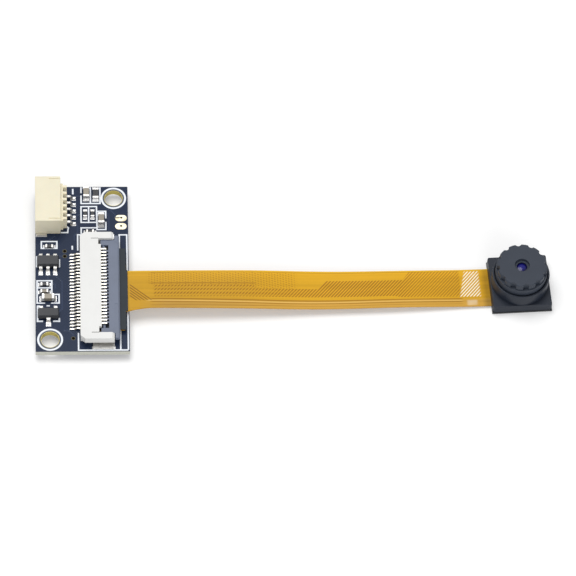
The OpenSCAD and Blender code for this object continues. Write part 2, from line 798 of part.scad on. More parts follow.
module lens_holder() {
    color([0.08, 0.08, 0.09])
    at_head() difference() {
        union() {
            translate([0, 0, film_top]) drafted_block(head_w, head_w, head_base_h, head_draft, 0.3);
            translate([0, 0, base_top - 0.3]) cylinder(d = boss_d, h = boss_h + 0.3);
        }
        // chamber over the sensor, and the seat of the filter
        translate([0, 0, film_top - 1]) linear_extrude(filter_z - film_top + 1)
            square(chamber_w, center = true);
        translate([0, 0, filter_z - eps]) linear_extrude(filter_t + eps)
            square(filter_w + 0.1, center = true);
        translate([0, 0, shelf_z - eps]) linear_extrude(shelf_t + 2 * eps)
            square(window_w, center = true);
        // bore of the lens barrel, wider at the rim
        translate([0, 0, shelf_z + shelf_t]) cylinder(r = bore_r, h = 5);
        translate([0, 0, boss_top - rim_depth]) cylinder(r = boss_d / 2 - rim_wall, h = 5);
    }
}

// ---- lens barrel and what it holds ----

barrel_top = boss_top + barrel_rise;
grip_z = barrel_top - grip_h;
collar_z = boss_top - rim_depth + focus_room;
barrel_z = shelf_z + shelf_t + focus_room + 0.05;
opening_depth = 0.4;
stop_t = 0.2;
front_z = barrel_top - opening_depth - stop_t;
front_r = 1.5;
front_h = 0.75;
middle_z = front_z - front_h;
middle_r = 2.05;
middle_h = 0.8;
rear_z = middle_z - middle_h;
rear_r = 2.6;
lens_play = 0.02;
front_lens_t = 0.35;
middle_lens_t = 0.55;
rear_lens_t = 0.6;
ring_h = 0.4;

module lens_barrel() {
    chamfer = 0.12;
    hollow_r = 0.42;
    hollow_out = 0.1;
    hollow_start = 0.1;
    color([0.10, 0.10, 0.11])
    at_head() difference() {
        rotate_extrude() polygon([
            [rear_r, barrel_z], [thread_d / 2 - chamfer, barrel_z], [thread_d / 2, barrel_z + chamfer],
            [thread_d / 2, collar_z], [collar_d / 2, collar_z], [collar_d / 2, grip_z],
            [grip_d / 2, grip_z], [grip_d / 2, barrel_top - chamfer], [grip_d / 2 - chamfer, barrel_top],
            [opening_d / 2, barrel_top], [opening_d / 2, front_z + stop_t], [stop_d / 2, front_z + stop_t],
            [stop_d / 2, front_z], [front_r, front_z], [front_r, middle_z], [middle_r, middle_z],
            [middle_r, rear_z], [rear_r, rear_z]]);
        for (i = [0:grip_hollows - 1])
            rotate([0, 0, 360 / grip_hollows * (i + hollow_start)])
                translate([grip_d / 2 + hollow_out, 0, grip_z + 0.02])
                    cylinder(r = hollow_r, h = grip_h + 1);
    }
}

// Depth of a round surface at a distance from its middle
function sag(r, ball) = ball - sqrt(ball * ball - r * r);

// Side view of a round lens: a flat rim with a bulging top and a hollow or bulging underside
module lens_profile(r, t, clear_r, bulge, under, steps = 8) {
    top_ball = (clear_r * clear_r + bulge * bulge) / (2 * bulge);
    under_ball = (clear_r * clear_r + under * under) / (2 * abs(under));
    polygon(concat(
        [for (i = [0:steps]) let(x = clear_r * i / steps)
            [x, sign(under) * (abs(under) - sag(x, under_ball))]],
        [[r, 0], [r, t]],
        [for (i = [steps:-1:0]) let(x = clear_r * i / steps)
            [x, t + bulge - sag(x, top_ball)]]));
}

module front_lens() {
    color([0.25, 0.30, 0.60])
    at_head(front_z - front_lens_t) rotate_extrude()
        lens_profile(front_r - lens_play, front_lens_t, stop_d / 2 - 0.03, 0.12, 0.1);
}

module front_spacer() {
    color([0.09, 0.09, 0.10])
    at_head(middle_z) difference() {
        cylinder(r = front_r - lens_play, h = front_h - front_lens_t);
        translate([0, 0, -1]) cylinder(r = 0.85, h = 3);
    }
}

module middle_lens() {
    color([0.80, 0.85, 0.88])
    at_head(middle_z - middle_lens_t) rotate_extrude()
        lens_profile(middle_r - lens_play, middle_lens_t, 0.8, 0.1, -0.1);
}

module middle_spacer() {
    color([0.09, 0.09, 0.10])
    at_head(rear_z) difference() {
        cylinder(r = middle_r - lens_play, h = middle_h - middle_lens_t);
        translate([0, 0, -1]) cylinder(r = 1.3, h = 3);
    }
}

module rear_lens() {
    color([0.80, 0.85, 0.88])
    at_head(rear_z - rear_lens_t) rotate_extrude()
        lens_profile(rear_r - lens_play, rear_lens_t, 1.25, 0.1, 0.2);
}

module retaining_ring() {
    color([0.09, 0.09, 0.10])
    at_head(rear_z - rear_lens_t - ring_h) difference() {
        cylinder(r = rear_r - lens_play, h = ring_h);
        translate([0, 0, -1]) cylinder(r = 1.8, h = 3);
    }
}

circuit_board();
wire_socket_housing();
wire_socket_contacts();
wire_socket_tabs();
ribbon_connector_housing();
ribbon_connector_contacts();
ribbon_connector_latch();
ribbon_connector_tabs();
regulator_body();
regulator_leads();
transistor_body();
transistor_leads();
capacitor_bodies();
capacitor_ends();
resistor_bodies();
resistor_ends();
controller_body();
controller_pads();
crystal_base();
crystal_lid();
memory_body();
memory_pads();
underside_capacitor_bodies();
underside_capacitor_ends();
underside_resistor_bodies();
underside_resistor_ends();
flex_ribbon();
ribbon_stiffener();
head_back_plate();
image_sensor();
sensor_glass();
infrared_filter();
lens_holder();
lens_barrel();
front_lens();
front_spacer();
middle_lens();
middle_spacer();
rear_lens();
retaining_ring();
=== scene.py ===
"""Camera module: a small board, a flat flexible ribbon and a camera head.

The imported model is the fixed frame. The operators give its parts their finishes and add what is too
fine for it: board printing, pads, tracks, solder and the ribbon's copper.
"""

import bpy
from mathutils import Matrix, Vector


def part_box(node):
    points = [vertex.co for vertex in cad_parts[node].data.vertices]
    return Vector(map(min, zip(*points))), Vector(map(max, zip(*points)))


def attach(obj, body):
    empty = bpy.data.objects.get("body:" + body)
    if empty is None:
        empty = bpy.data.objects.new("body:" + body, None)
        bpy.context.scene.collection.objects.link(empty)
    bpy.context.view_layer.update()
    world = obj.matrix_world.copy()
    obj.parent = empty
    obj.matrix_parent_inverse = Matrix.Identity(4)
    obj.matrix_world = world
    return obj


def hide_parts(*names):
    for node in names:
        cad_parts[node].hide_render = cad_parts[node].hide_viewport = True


bl_info = {
    "name": "Camera Module",
    "version": (1, 0, 0),
    "blender": (4, 5, 0),
    "location": "3D View > Sidebar > Camera Module",
    "description": "Finishes and fine detail of a ribbon camera module",
    "category": "Object",
}

import math

import bmesh
import bpy
from bpy.props import FloatProperty, FloatVectorProperty, IntProperty, PointerProperty
from mathutils import Quaternion, Vector

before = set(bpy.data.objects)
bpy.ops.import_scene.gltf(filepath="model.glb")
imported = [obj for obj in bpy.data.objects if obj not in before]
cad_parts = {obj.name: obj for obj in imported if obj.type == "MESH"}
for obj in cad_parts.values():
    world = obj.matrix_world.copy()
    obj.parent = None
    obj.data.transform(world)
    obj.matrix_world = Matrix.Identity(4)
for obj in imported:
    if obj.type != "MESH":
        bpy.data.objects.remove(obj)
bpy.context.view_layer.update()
MM = 0.001

BOARD_LOW, BOARD_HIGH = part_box("circuit_board")
TOP, UNDER = BOARD_HIGH[2], BOARD_LOW[2]
HEAD_LOW, HEAD_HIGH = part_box("head_back_plate")
HEAD_X = (HEAD_LOW[0] + HEAD_HIGH[0]) / 2
HEAD_Y = (HEAD_LOW[1] + HEAD_HIGH[1]) / 2
# Corners closer than this are one corner, in new pieces and in copies of the frame's parts
WELD, FRAME_WELD = 1e-8, 2e-7
# Edges that turn by more than this are rounded, and faces that turn by less are one flat
ROUND_ANGLE, FLAT_ANGLE = math.radians(40.0), math.radians(1.0)
# Least cosine between a corner's middle line and its sides; how upright a level face's normal is
LEAST_MITRE, LEVEL = 0.35, 0.99999
# Finishes made so far, by name
FINISHES = {}


# ---- settings ----


def length(name, description, millimetres, low=0.0, high=100.0):
    """A length that the panel shows in the scene's own unit."""
    limits = {"default": millimetres * MM, "min": low * MM, "max": high * MM}
    kind = {"precision": 5, "subtype": "DISTANCE", "unit": "LENGTH"}
    return FloatProperty(name=name, description=description, **limits, **kind)


def angle(name, description, degrees):
    """An angle that the panel shows in degrees."""
    turn = math.radians(degrees)
    return FloatProperty(name=name, description=description, default=turn, subtype="ANGLE", unit="ROTATION")


def strength(name, description, value):
    """A strength of light."""
    return FloatProperty(name=name, description=description, default=value, min=0.0)


def tint(name, what, *color):
    """The plain colour of something."""
    limits = {"default": color, "min": 0.0, "max": 1.0, "size": 3}
    return FloatVectorProperty(name=name, description=f"Colour of {what}", subtype="COLOR", **limits)


class CAMERAMODULE_PG_board(bpy.types.PropertyGroup):
    """Sizes and colours of the board and of what is printed on it."""

    mask: tint("Solder Mask", "the lacquer over the board", 0.016, 0.027, 0.060)
    laminate: tint("Laminate", "the cut edges", 0.60, 0.60, 0.53)
    ink: tint("Printing", "the printed outlines", 0.86, 0.90, 0.96)
    plating: tint("Hole Plating", "the metal in the fixing holes", 0.52, 0.44, 0.13)
    solder: tint("Solder", "the solder on the pads", 0.58, 0.58, 0.58)
    line_width: length("Print Width", "Width of a printed line", 0.19, 0.05, 0.5)
    ring_width: length("Ring Width", "Width of the ring round a fixing hole", 0.25, 0.1, 0.6)
    ring_radius: length("Ring Radius", "Middle radius of the ring round a fixing hole", 1.565, 1.3, 2.0)
    ink_height: length("Print Height", "Thickness of the printing", 0.012, 0.005, 0.05)
    track_width: length("Track Width", "Width of a copper track under the lacquer", 0.2, 0.1, 0.6)


class CAMERAMODULE_PG_parts(bpy.types.PropertyGroup):
    """Colours of the parts on the board."""

    socket: tint("Wire Socket", "the wire socket's housing", 0.80, 0.745, 0.57)
    housing: tint("Ribbon Connector", "the ribbon connector's housing", 0.76, 0.76, 0.745)
    # The latch is black; its blue-grey colour here is partly a painted reflection of the surround
    latch: tint("Latch", "the ribbon connector's latch", 0.125, 0.150, 0.215)
    tin: tint("Tin", "the plated leads and end caps", 0.62, 0.61, 0.59)
    epoxy: tint("Chip Bodies", "the moulded chips", 0.030, 0.032, 0.038)
    capacitor: tint("Capacitors", "the fired ceramic", 0.28, 0.25, 0.20)
    fillet_rise: length("Solder Rise", "Height of the solder against an end cap", 0.22, 0.05, 0.4)


class CAMERAMODULE_PG_ribbon(bpy.types.PropertyGroup):
    """Sizes and colours of the ribbon and its copper."""

    film: tint("Film", "the film with no copper under it", 0.32, 0.13, 0.010)
    copper: tint("Copper", "the film over copper", 0.66, 0.355, 0.018)
    stiffener: tint("Stiffener", "the stiff end", 0.028, 0.035, 0.043)
    hatch_pitch: length("Hatch Pitch", "Distance between the shield's diagonal lines", 0.43, 0.1, 1.0)
    edge: length("Bare Edge", "Width of the edge with no copper", 0.12, 0.0, 0.5)
    columns: IntProperty(name="Columns", description="Steps along the run", default=150, min=20, max=400)


class CAMERAMODULE_PG_head(bpy.types.PropertyGroup):
    """Colours of the camera head."""

    holder: tint("Holder", "the lens holder", 0.013, 0.018, 0.030)
    barrel: tint("Barrel", "the lens barrel", 0.030, 0.038, 0.055)
    coating: tint("Lens Coating", "the front lens's coating", 0.006, 0.006, 0.105)
    plate: tint("Back Plate", "the plate behind the head", 0.030, 0.032, 0.036)


class CAMERAMODULE_PG_stage(bpy.types.PropertyGroup):
    """The camera and the lamps."""

    azimuth: angle("Azimuth", "Turn of the camera round the module", -5.57)
    elevation: angle("Elevation", "Angle of the camera above the floor", 57.81)
    roll: angle("Roll", "Turn of the camera about its line of sight", 4.42)
    distance: length("Distance", "Distance from the camera to the view's middle", 600.0, 100.0, 5000.0)
    width: length("View Width", "Width that the camera sees at that distance", 75.907, 10.0, 500.0)
    look_x: length("Look At X", "Middle of the view along the ribbon", -0.84, -100.0, 100.0)
    look_y: length("Look At Y", "Middle of the view across the ribbon", -3.23, -100.0, 100.0)
    glow: strength("Floor Glow", "White added to the floor as it is seen", 0.22)
    key: strength("Key Lamp", "Strength of the lamps", 1.0)
    sky: strength("Surround", "Strength of the even light from all round", 0.45)


# ---- nodes ----


class Tree:
    """Adds nodes to a node tree. A value is a plain one or another node's output."""

    def __init__(self, tree):
        self.tree = tree

    def fill(self, node, inputs):
        """Gives a node's inputs their values, by name or by place."""
        for name, value in inputs.items():
            if isinstance(value, bpy.types.NodeSocket):
                self.tree.links.new(value, node.inputs[name])
            else:
                node.inputs[name].default_value = value
        return node

    def node(self, kind, inputs=None, **attributes):
        """A new node, with its attributes set before its inputs."""
        made = self.tree.nodes.new(kind)
        for name, value in attributes.items():
            setattr(made, name, value)
        return self.fill(made, inputs or {})

    def math(self, operation, *values, clamp=False):
        inputs = dict(enumerate(values))
        return self.node("ShaderNodeMath", inputs, operation=operation, use_clamp=clamp).outputs[0]

    def mul(self, first, second):
        return self.math("MULTIPLY", first, second)

    def sub(self, first, second):
        return self.math("SUBTRACT", first, second)

    def most(self, first, second):
        return self.math("MAXIMUM", first, second)

    def mul_add(self, value, factor, base, clamp=False):
        return self.math("MULTIPLY_ADD", value, factor, base, clamp=clamp)

    def vary(self, base, noise, amount, clamp=False):
        """A base value, raised or lowered by how far a noise is from its middle."""
        return self.mul_add(self.sub(noise, 0.5), amount, base, clamp)

    def wave(self, value, pitch):
        """A sine that repeats at each pitch."""
        return self.math("SINE", self.math("DIVIDE", self.mul(value, 2 * math.pi), pitch))

    def step(self, value, low, high):
        """0 below low, 1 above high and even between them."""
        inputs = {"Value": value, "From Min": low, "From Max": high}
        return self.node("ShaderNodeMapRange", inputs).outputs["Result"]

    def blend(self, factor, *colors):
        """A colour between two colours."""
        first, second = (c if isinstance(c, bpy.types.NodeSocket) else opaque(c) for c in colors)
        return self.node("ShaderNodeMix", {0: factor, 6: first, 7: second}, data_type="RGBA").outputs[2]

    def shaded(self, color, value):
        """A colour made lighter or darker."""
        return self.node("ShaderNodeHueSaturation", {"Color": color, "Value": value}).outputs["Color"]

    def noise(self, vector, scale, detail=2.0, roughness=0.5):
        inputs = {"Vector": vector, "Scale": scale, "Detail": detail, "Roughness": roughness}
        return self.node("ShaderNodeTexNoise", inputs).outputs["Fac"]

    def place(self):
        """The surface's place in the module, in metres."""
        return self.node("ShaderNodeTexCoord").outputs["Object"]

    def mapped(self, vector, **settings):
        """A place moved by its location and stretched by its scale."""
        return self.node("ShaderNodeMapping", {"Vector": vector, **settings}).outputs["Vector"]

    def parts(self, vector):
        """A vector's X, Y and Z."""
        return self.node("ShaderNodeSeparateXYZ", {"Vector": vector}).outputs

    def put_out(self, color, roughness, height, strength, distance):
        """Ends a shared effect: its colour, its roughness and a normal bumped by a height."""
        bump = {"Strength": strength, "Distance": distance, "Height": height}
        normal = self.node("ShaderNodeBump", bump).outputs["Normal"]
        self.node("NodeGroupOutput", {"Color": color, "Roughness": roughness, "Normal": normal})
        return self.tree


def opaque(color):
    return (*color[:3], 1.0)


def effect(name, inputs):
    """An empty shared effect that puts out a colour, a roughness and a normal: its tree and its inputs."""
    kinds = {float: "NodeSocketFloat", tuple: "NodeSocketColor", type(None): "NodeSocketVector"}
    group = bpy.data.node_groups.new(name, "ShaderNodeTree")
    for socket, default in inputs.items():
        made = group.interface.new_socket(name=socket, in_out="INPUT", socket_type=kinds[type(default)])
        if default is not None:
            made.default_value = default
    outputs = (("Color", "NodeSocketColor"), ("Roughness", "NodeSocketFloat"), ("Normal", "NodeSocketVector"))
    for socket, kind in outputs:
        group.interface.new_socket(name=socket, in_out="OUTPUT", socket_type=kind)
    return Tree(group), group.nodes.new("NodeGroupInput").outputs


def moulded_grain():
    """Fine matt grain of a moulding, with faint flow clouds."""
    numbers = {"Grain Scale": 9000.0, "Grain Depth": 0.15, "Cloud": 0.12, "Roughness": 0.55}
    tree, given = effect("Moulded Grain", {"Color": (0.5, 0.5, 0.5, 1.0), **numbers})
    place = tree.place()
    grain = tree.noise(place, given["Grain Scale"], 3.0, 0.6)
    cloud = tree.noise(place, 420.0, 3.0)
    color = tree.shaded(given["Color"], tree.vary(1.0, cloud, tree.mul(given["Cloud"], 2.0)))
    rough = tree.vary(given["Roughness"], grain, 0.25, clamp=True)
    return tree.put_out(color, rough, grain, given["Grain Depth"], 0.02 * MM)


def plated_metal():
    """Tin or gold plate: soft dents, small tarnished spots and uneven shine."""
    colors = {"Color": (0.7, 0.7, 0.7, 1.0), "Tarnish": (0.45, 0.43, 0.4, 1.0)}
    tree, given = effect("Plated Metal", {**colors, "Roughness": 0.32, "Dents": 0.3})
    place = tree.place()
    dents = tree.noise(place, 2600.0, 2.0)
    spots = tree.step(tree.noise(place, 1500.0, 4.0, 0.7), 0.52, 0.72)
    color = tree.blend(tree.mul(spots, 0.5), given["Color"], given["Tarnish"])
    rough = tree.mul_add(spots, 0.2, given["Roughness"], clamp=True)
    return tree.put_out(color, rough, dents, given["Dents"], 0.04 * MM)


def lacquered_board():
    """Lacquer over laminate: weave just showing through, and layered glass fibre on the cut edges."""
    colors = {"Mask": (0.04, 0.05, 0.08, 1.0), "Laminate": (0.5, 0.5, 0.42, 1.0)}
    tree, given = effect("Lacquered Board", {**colors, "Weave Pitch": 0.42 * MM})
    place = tree.place()
    parts = tree.parts(place)
    up = tree.parts(tree.node("ShaderNodeNewGeometry").outputs["Normal"])["Z"]
    cut = tree.math("LESS_THAN", tree.math("ABSOLUTE", up), 0.5)
    weave = tree.mul(*(tree.wave(parts[axis], given["Weave Pitch"]) for axis in ("X", "Y")))
    cloud = tree.noise(place, 260.0, 3.0)
    lacquer = tree.shaded(given["Mask"], tree.mul_add(weave, 0.05, tree.mul_add(cloud, 0.30, 0.85)))
    layers = tree.wave(parts["Z"], 0.16 * MM)
    fibre = tree.noise(tree.mapped(place, Scale=(1.0, 1.0, 9.0)), 2400.0)
    edge = tree.shaded(given["Laminate"], tree.mul_add(layers, 0.10, tree.mul_add(fibre, 0.5, 0.72)))
    rough = tree.mul_add(cut, 0.45, tree.mul_add(cloud, 0.15, 0.27))
    return tree.put_out(tree.blend(cut, lacquer, edge), rough, weave, 0.12, 0.03 * MM)


# ---- finishes ----

# Roughness, grain scale, grain depth and cloud
MOULDINGS = {
    "printing_ink": (0.6, 14000.0, 0.2, 0.05),
    "bare_land": (0.5, 12000.0, 0.2, 0.12),
    "via_lacquer": (0.4, 12000.0, 0.2, 0.12),
    "painted_hole_shade": (0.9, 9000.0, 0.15, 0.12),
    "socket_nylon": (0.52, 7000.0, 0.12, 0.07),
    "connector_polymer": (0.45, 8000.0, 0.12, 0.05),
    "latch_polymer_and_reflection": (0.42, 8000.0, 0.2, 0.14),
    "chip_epoxy": (0.55, 12000.0, 0.3, 0.25),
    "fired_ceramic": (0.38, 11000.0, 0.15, 0.3),
    "resistor_glaze": (0.25, 9000.0, 0.1, 0.12),
    "crystal_ceramic": (0.5, 10000.0, 0.2, 0.12),
    "stiffener_film": (0.40, 6000.0, 0.1, 0.2),
    "holder_moulding": (0.46, 7000.0, 0.35, 0.2),
    "barrel_moulding": (0.50, 8000.0, 0.4, 0.15),
    "back_plate_paint": (0.5, 5000.0, 0.3, 0.2),
    "silicon": (0.2, 15000.0, 0.1, 0.12),
}
# Tarnish, roughness and dents
METALS = {
    "bright_tin": ((0.50, 0.47, 0.42), 0.32, 0.3),
    "hole_plating": ((0.30, 0.24, 0.08), 0.42, 0.3),
    "pad_tin": ((0.60, 0.51, 0.34), 0.5, 0.3),
    "solder": ((0.42, 0.41, 0.40), 0.30, 0.6),
    "contact_plate": ((0.55, 0.48, 0.36), 0.28, 0.3),
    "crystal_nickel": ((0.45, 0.40, 0.30), 0.3, 0.3),
}


def new_material(name):
    """A material, its tree and its surface shader."""
    material = bpy.data.materials.new(name)
    material.use_nodes = True
    return material, Tree(material.node_tree), material.node_tree.nodes["Principled BSDF"]


def finish_with(name, make, values, **plain):
    """A material whose colour, roughness and normal come from a shared effect, made when first asked for."""
    if name not in FINISHES:
        FINISHES[name], tree, shader = new_material(name)
        shared = bpy.data.node_groups.get(make.__name__.replace("_", " ").title()) or make()
        values = {key: opaque(v) if hasattr(v, "__len__") else v for key, v in values.items()}
        surface = tree.node("ShaderNodeGroup", values, node_tree=shared).outputs
        tree.fill(shader, {"Base Color": surface["Color"]})
        tree.fill(shader, {key: surface[key] for key in ("Roughness", "Normal")})
        tree.fill(shader, {key.replace("_", " "): value for key, value in plain.items()})
    return FINISHES[name]


def moulding(name, color, **plain):
    """A moulded, printed or fired surface from the table."""
    keys = ("Roughness", "Grain Scale", "Grain Depth", "Cloud")
    return finish_with(name, moulded_grain, {"Color": color, **dict(zip(keys, MOULDINGS[name]))}, **plain)


def metal(name, color):
    """A metal from the table."""
    keys = ("Tarnish", "Roughness", "Dents")
    return finish_with(name, plated_metal, {"Color": color, **dict(zip(keys, METALS[name]))}, Metallic=1.0)


def tin_plate():
    return metal("bright_tin", bpy.context.scene.camera_module_parts.tin)


def paint(material, *node_names):
    """Gives parts of the frame their finish."""
    for node_name in node_names:
        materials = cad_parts[node_name].data.materials
        materials.clear()
        materials.append(material)


# ---- meshes ----


def only(kind, geometry):
    """The corners, edges or faces among a bmesh operator's results."""
    return [g for g in geometry if isinstance(g, kind)]


def add_object(name, data):
    """A new object, linked to the scene."""
    made = bpy.data.objects.new(name, data)
    bpy.context.scene.collection.objects.link(made)
    return made


def mesh_object(name, mesh, material):
    """A new object from a bmesh, which it frees."""
    data = bpy.data.meshes.new(name)
    mesh.to_mesh(data)
    mesh.free()
    data.materials.append(material)
    return add_object(name, data)


def piece(name, mesh, material, body="module", sharp=30.0):
    """Turns a finished bmesh into a piece that rides on a body."""
    bmesh.ops.remove_doubles(mesh, verts=mesh.verts, dist=WELD)
    bmesh.ops.recalc_face_normals(mesh, faces=mesh.faces)
    made = mesh_object(name, mesh, material)
    made.data.shade_smooth()
    made.data.set_sharp_from_angle(angle=math.radians(sharp))
    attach(made, body)
    return made


def block(mesh, low, high):
    """A box between two corners."""
    low, high = Vector(low), Vector(high)
    made = bmesh.ops.create_cube(mesh, size=1.0)["verts"]
    bmesh.ops.scale(mesh, vec=high - low, verts=made)
    bmesh.ops.translate(mesh, vec=(low + high) / 2, verts=made)


def ring(mesh, centre, inner, outer, low, high, steps=72):
    """A flat ring round an upright axis."""
    corners = ((inner, low), (outer, low), (outer, high), (inner, high))
    verts = [mesh.verts.new((centre[0] + radius, centre[1], height)) for radius, height in corners]
    edges = [mesh.edges.new((verts[i], verts[(i + 1) % 4])) for i in range(4)]
    turn = {"cent": (*centre, 0.0), "axis": (0, 0, 1), "angle": 2 * math.pi}
    bmesh.ops.spin(mesh, geom=verts + edges, steps=steps, use_merge=True, **turn)


def disc(mesh, centre, radius, low, high, steps=32, stretch=1.0):
    """A flat round plate, or an oval one stretched along X."""
    sizes = {"radius1": radius, "radius2": radius, "depth": high - low}
    made = bmesh.ops.create_cone(mesh, cap_ends=True, segments=steps, **sizes)["verts"]
    bmesh.ops.scale(mesh, vec=(stretch, 1.0, 1.0), verts=made)
    bmesh.ops.translate(mesh, vec=(*centre, (low + high) / 2), verts=made)


def stroke(mesh, path, width, low, high, closed=False):
    """A flat line of even width along a path on the board, raised from one height to another."""
    points = [Vector(on_board(*spot)) for spot in path]
    count = len(points)
    ways = [(points[(i + 1) % count] - points[i]).normalized() for i in range(count)]

    def sides(index):
        """The line's two sides at a point, mitred but never drawn out to a long spike."""
        before, after = ways[index - 1], ways[index]
        if not closed:
            before, after = ways[max(index - 1, 0)], ways[min(index, count - 2)]
        middle = (before + after).normalized()
        across = Vector((-middle.y, middle.x)) * (width / 2 / max(LEAST_MITRE, middle.dot(before)))
        return points[index] + across, points[index] - across

    ends = [mesh.verts.new((*side, low)) for side in sides(0)]
    edge = mesh.edges.new(ends)
    faces = []
    for index in list(range(1, count)) + ([0] if closed else []):
        grown = bmesh.ops.extrude_edge_only(mesh, edges=[edge])["geom"]
        faces += only(bmesh.types.BMFace, grown)
        new = only(bmesh.types.BMVert, grown)
        edge = next(e for e in only(bmesh.types.BMEdge, grown) if set(e.verts) == set(new))
        new.sort(key=lambda vert: (vert.co - ends[0].co).length)
        new[0].co.xy, new[1].co.xy = sides(index)
        ends = new
    if closed:
        corners = list(dict.fromkeys(vert for face in faces for vert in face.verts))
        bmesh.ops.remove_doubles(mesh, verts=corners, dist=WELD)
        faces = [f for f in faces if f.is_valid]
    top = bmesh.ops.extrude_face_region(mesh, geom=faces)["geom"]
    bmesh.ops.translate(mesh, vec=(0, 0, high - low), verts=only(bmesh.types.BMVert, top))


def keep_flats(data):
    """Level faces keep an even shade right up to their rounded edges."""
    mesh = bmesh.new()
    mesh.from_mesh(data)
    for edge in mesh.edges:
        if len({abs(face.normal.z) > LEVEL for face in edge.link_faces}) > 1:
            edge.smooth = False
    mesh.to_mesh(data)
    mesh.free()


def copy_of(node_name):
    """A bmesh copy of one of the frame's parts, with its corners joined."""
    mesh = bmesh.new()
    mesh.from_mesh(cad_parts[node_name].data)
    bmesh.ops.remove_doubles(mesh, verts=mesh.verts, dist=FRAME_WELD)
    return mesh


def softened(name, node_name, millimetres, material, body="module", segments=2, sharp=20.0):
    """A copy of one of the frame's parts with its outward edges rounded, which stands for it."""
    mesh = copy_of(node_name)
    bmesh.ops.dissolve_limit(mesh, angle_limit=FLAT_ANGLE, verts=mesh.verts, edges=mesh.edges)
    bmesh.ops.bevel(
        mesh,
        geom=[e for e in mesh.edges if e.is_convex and e.calc_face_angle(0.0) > ROUND_ANGLE],
        offset=millimetres * MM,
        segments=segments,
        profile=0.5,
        affect="EDGES",
        clamp_overlap=True,
        material=-1,
    )
    made = piece(name, mesh, material, body, sharp)
    keep_flats(made.data)
    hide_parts(node_name)


def on_board(x, y):
    """A place in millimetres from the board's left edge and middle line, in the module's frame."""
    return BOARD_LOW[0] + x * MM, (BOARD_LOW[1] + BOARD_HIGH[1]) / 2 + y * MM


# ---- stage ----

FLOOR_HALF, FLOOR_DROP = 1.5, 0.02 * MM
# Place, size and power of each lamp
LAMPS = {"key": ((-0.08, 0.11, 0.47), 0.32, 1.40), "fill": ((0.16, -0.44, 0.22), 0.40, 0.85)}
# Share of the white surround that shines in smooth surfaces
MIRRORED = 0.5
SENSOR_WIDTH, NEAREST, FARTHEST = 36.0, 0.01, 10.0
WHITE, PALE = (1.0, 1.0, 1.0, 1.0), (0.80, 0.80, 0.80, 1.0)


def lay_floor(given):
    """A plain floor, clear from below, so that the underside can be looked at."""
    mesh = bmesh.new()
    bmesh.ops.create_grid(mesh, x_segments=2, y_segments=2, size=FLOOR_HALF)
    material, tree, shader = new_material("pale_floor")
    rays = tree.node("ShaderNodeLightPath").outputs
    seen = tree.most(rays["Is Camera Ray"], rays["Is Glossy Ray"])
    seen = tree.most(seen, rays["Is Transmission Ray"])
    front = tree.sub(1.0, tree.node("ShaderNodeNewGeometry").outputs["Backfacing"])
    tree.fill(shader, {"Base Color": PALE, "Roughness": 1.0, "Specular IOR Level": 0.0, "Alpha": front})
    tree.fill(shader, {"Emission Color": WHITE, "Emission Strength": tree.mul(seen, given.glow)})
    floor = mesh_object("floor", mesh, material)
    floor.location = (0.0, 0.0, -FLOOR_DROP)


def light(context, given):
    """Even light from all round, with two soft lamps."""
    world = context.scene.world = bpy.data.worlds.new("surround")
    world.use_nodes = True
    tree = Tree(world.node_tree)
    rays = tree.node("ShaderNodeLightPath").outputs
    share = tree.most(rays["Is Camera Ray"], tree.mul(rays["Is Glossy Ray"], MIRRORED))
    power = tree.mul_add(share, 1.0 - given.sky, given.sky)
    tree.fill(world.node_tree.nodes["Background"], {"Color": WHITE, "Strength": power})
    for name, (place, size, power) in LAMPS.items():
        data = bpy.data.lights.new(name, "AREA")
        data.shape = "DISK"
        data.size = size
        data.energy = power * given.key
        set_up(add_object(name, data), place, Vector(place).to_track_quat("Z", "Y"))


def aim_camera(context, given):
    data = bpy.data.cameras.new("camera")
    data.sensor_width = SENSOR_WIDTH
    data.lens = SENSOR_WIDTH * given.distance / given.width
    data.clip_start, data.clip_end = NEAREST, FARTHEST
    turn, rise = given.azimuth, given.elevation
    back = Vector((math.sin(turn) * math.cos(rise), -math.cos(turn) * math.cos(rise), math.sin(rise)))
    place = Vector((given.look_x, given.look_y, TOP)) + back * given.distance
    facing = back.to_track_quat("Z", "Y") @ Quaternion((0, 0, 1), given.roll)
    context.scene.camera = add_object("camera", data)
    set_up(context.scene.camera, place, facing)


def set_up(made, place, facing):
    made.location = place
    made.rotation_mode = "QUATERNION"
    made.rotation_quaternion = facing


class CAMERAMODULE_OT_stage(bpy.types.Operator):
    """Lay a pale floor, set soft lamps and place the camera"""

    bl_idname = "camera_module.stage"
    bl_label = "Stage"

    def execute(self, context):
        given = context.scene.camera_module_stage
        lay_floor(given)
        light(context, given)
        aim_camera(context, given)
        context.scene.view_settings.view_transform = "Standard"
        return {"FINISHED"}


# ---- board ----

# Places on the board are in millimetres from its left edge and its middle line
HOLES = ((10.4, 11.0), (1.9, -11.0))
PRINTED_LINES = (
    ((6.1, 12.76), (6.1, 11.84)),
    ((6.1, 11.48), (6.1, 10.19), (8.62, 10.19), (8.62, 12.76)),
    ((7.34, 12.76), (7.34, 10.19)),
    ((7.09, 9.7), (7.09, 7.2)),
    ((9.35, 7.82), (9.35, 8.95), (8.18, 8.95), (8.18, 6.06), (9.35, 6.06), (9.35, 7.27)),
    ((6.08, 5.38), (6.08, 6.34), (8.18, 6.34)),
    ((5.6, 2.78), (5.6, 5.25), (6.2, 5.25)),
    ((11.1, -12.6), (11.1, 5.21), (12.1, 5.21), (12.1, -12.6)),
    ((5.6, -10.0), (5.6, -12.64), (12.1, -12.64)),
    ((3.38, 5.6), (4.28, 5.6), (4.38, 6.37), (4.05, 6.69)),
    ((0.17, 1.92), (0.17, 0.18)),
    ((3.18, 1.42), (3.18, 0.16)),
    ((1.26, -5.38), (0.22, -5.38), (0.22, -3.02)),
    ((2.15, -3.02), (2.15, -4.04), (3.1, -4.04), (3.1, -5.38), (2.04, -5.38)),
)
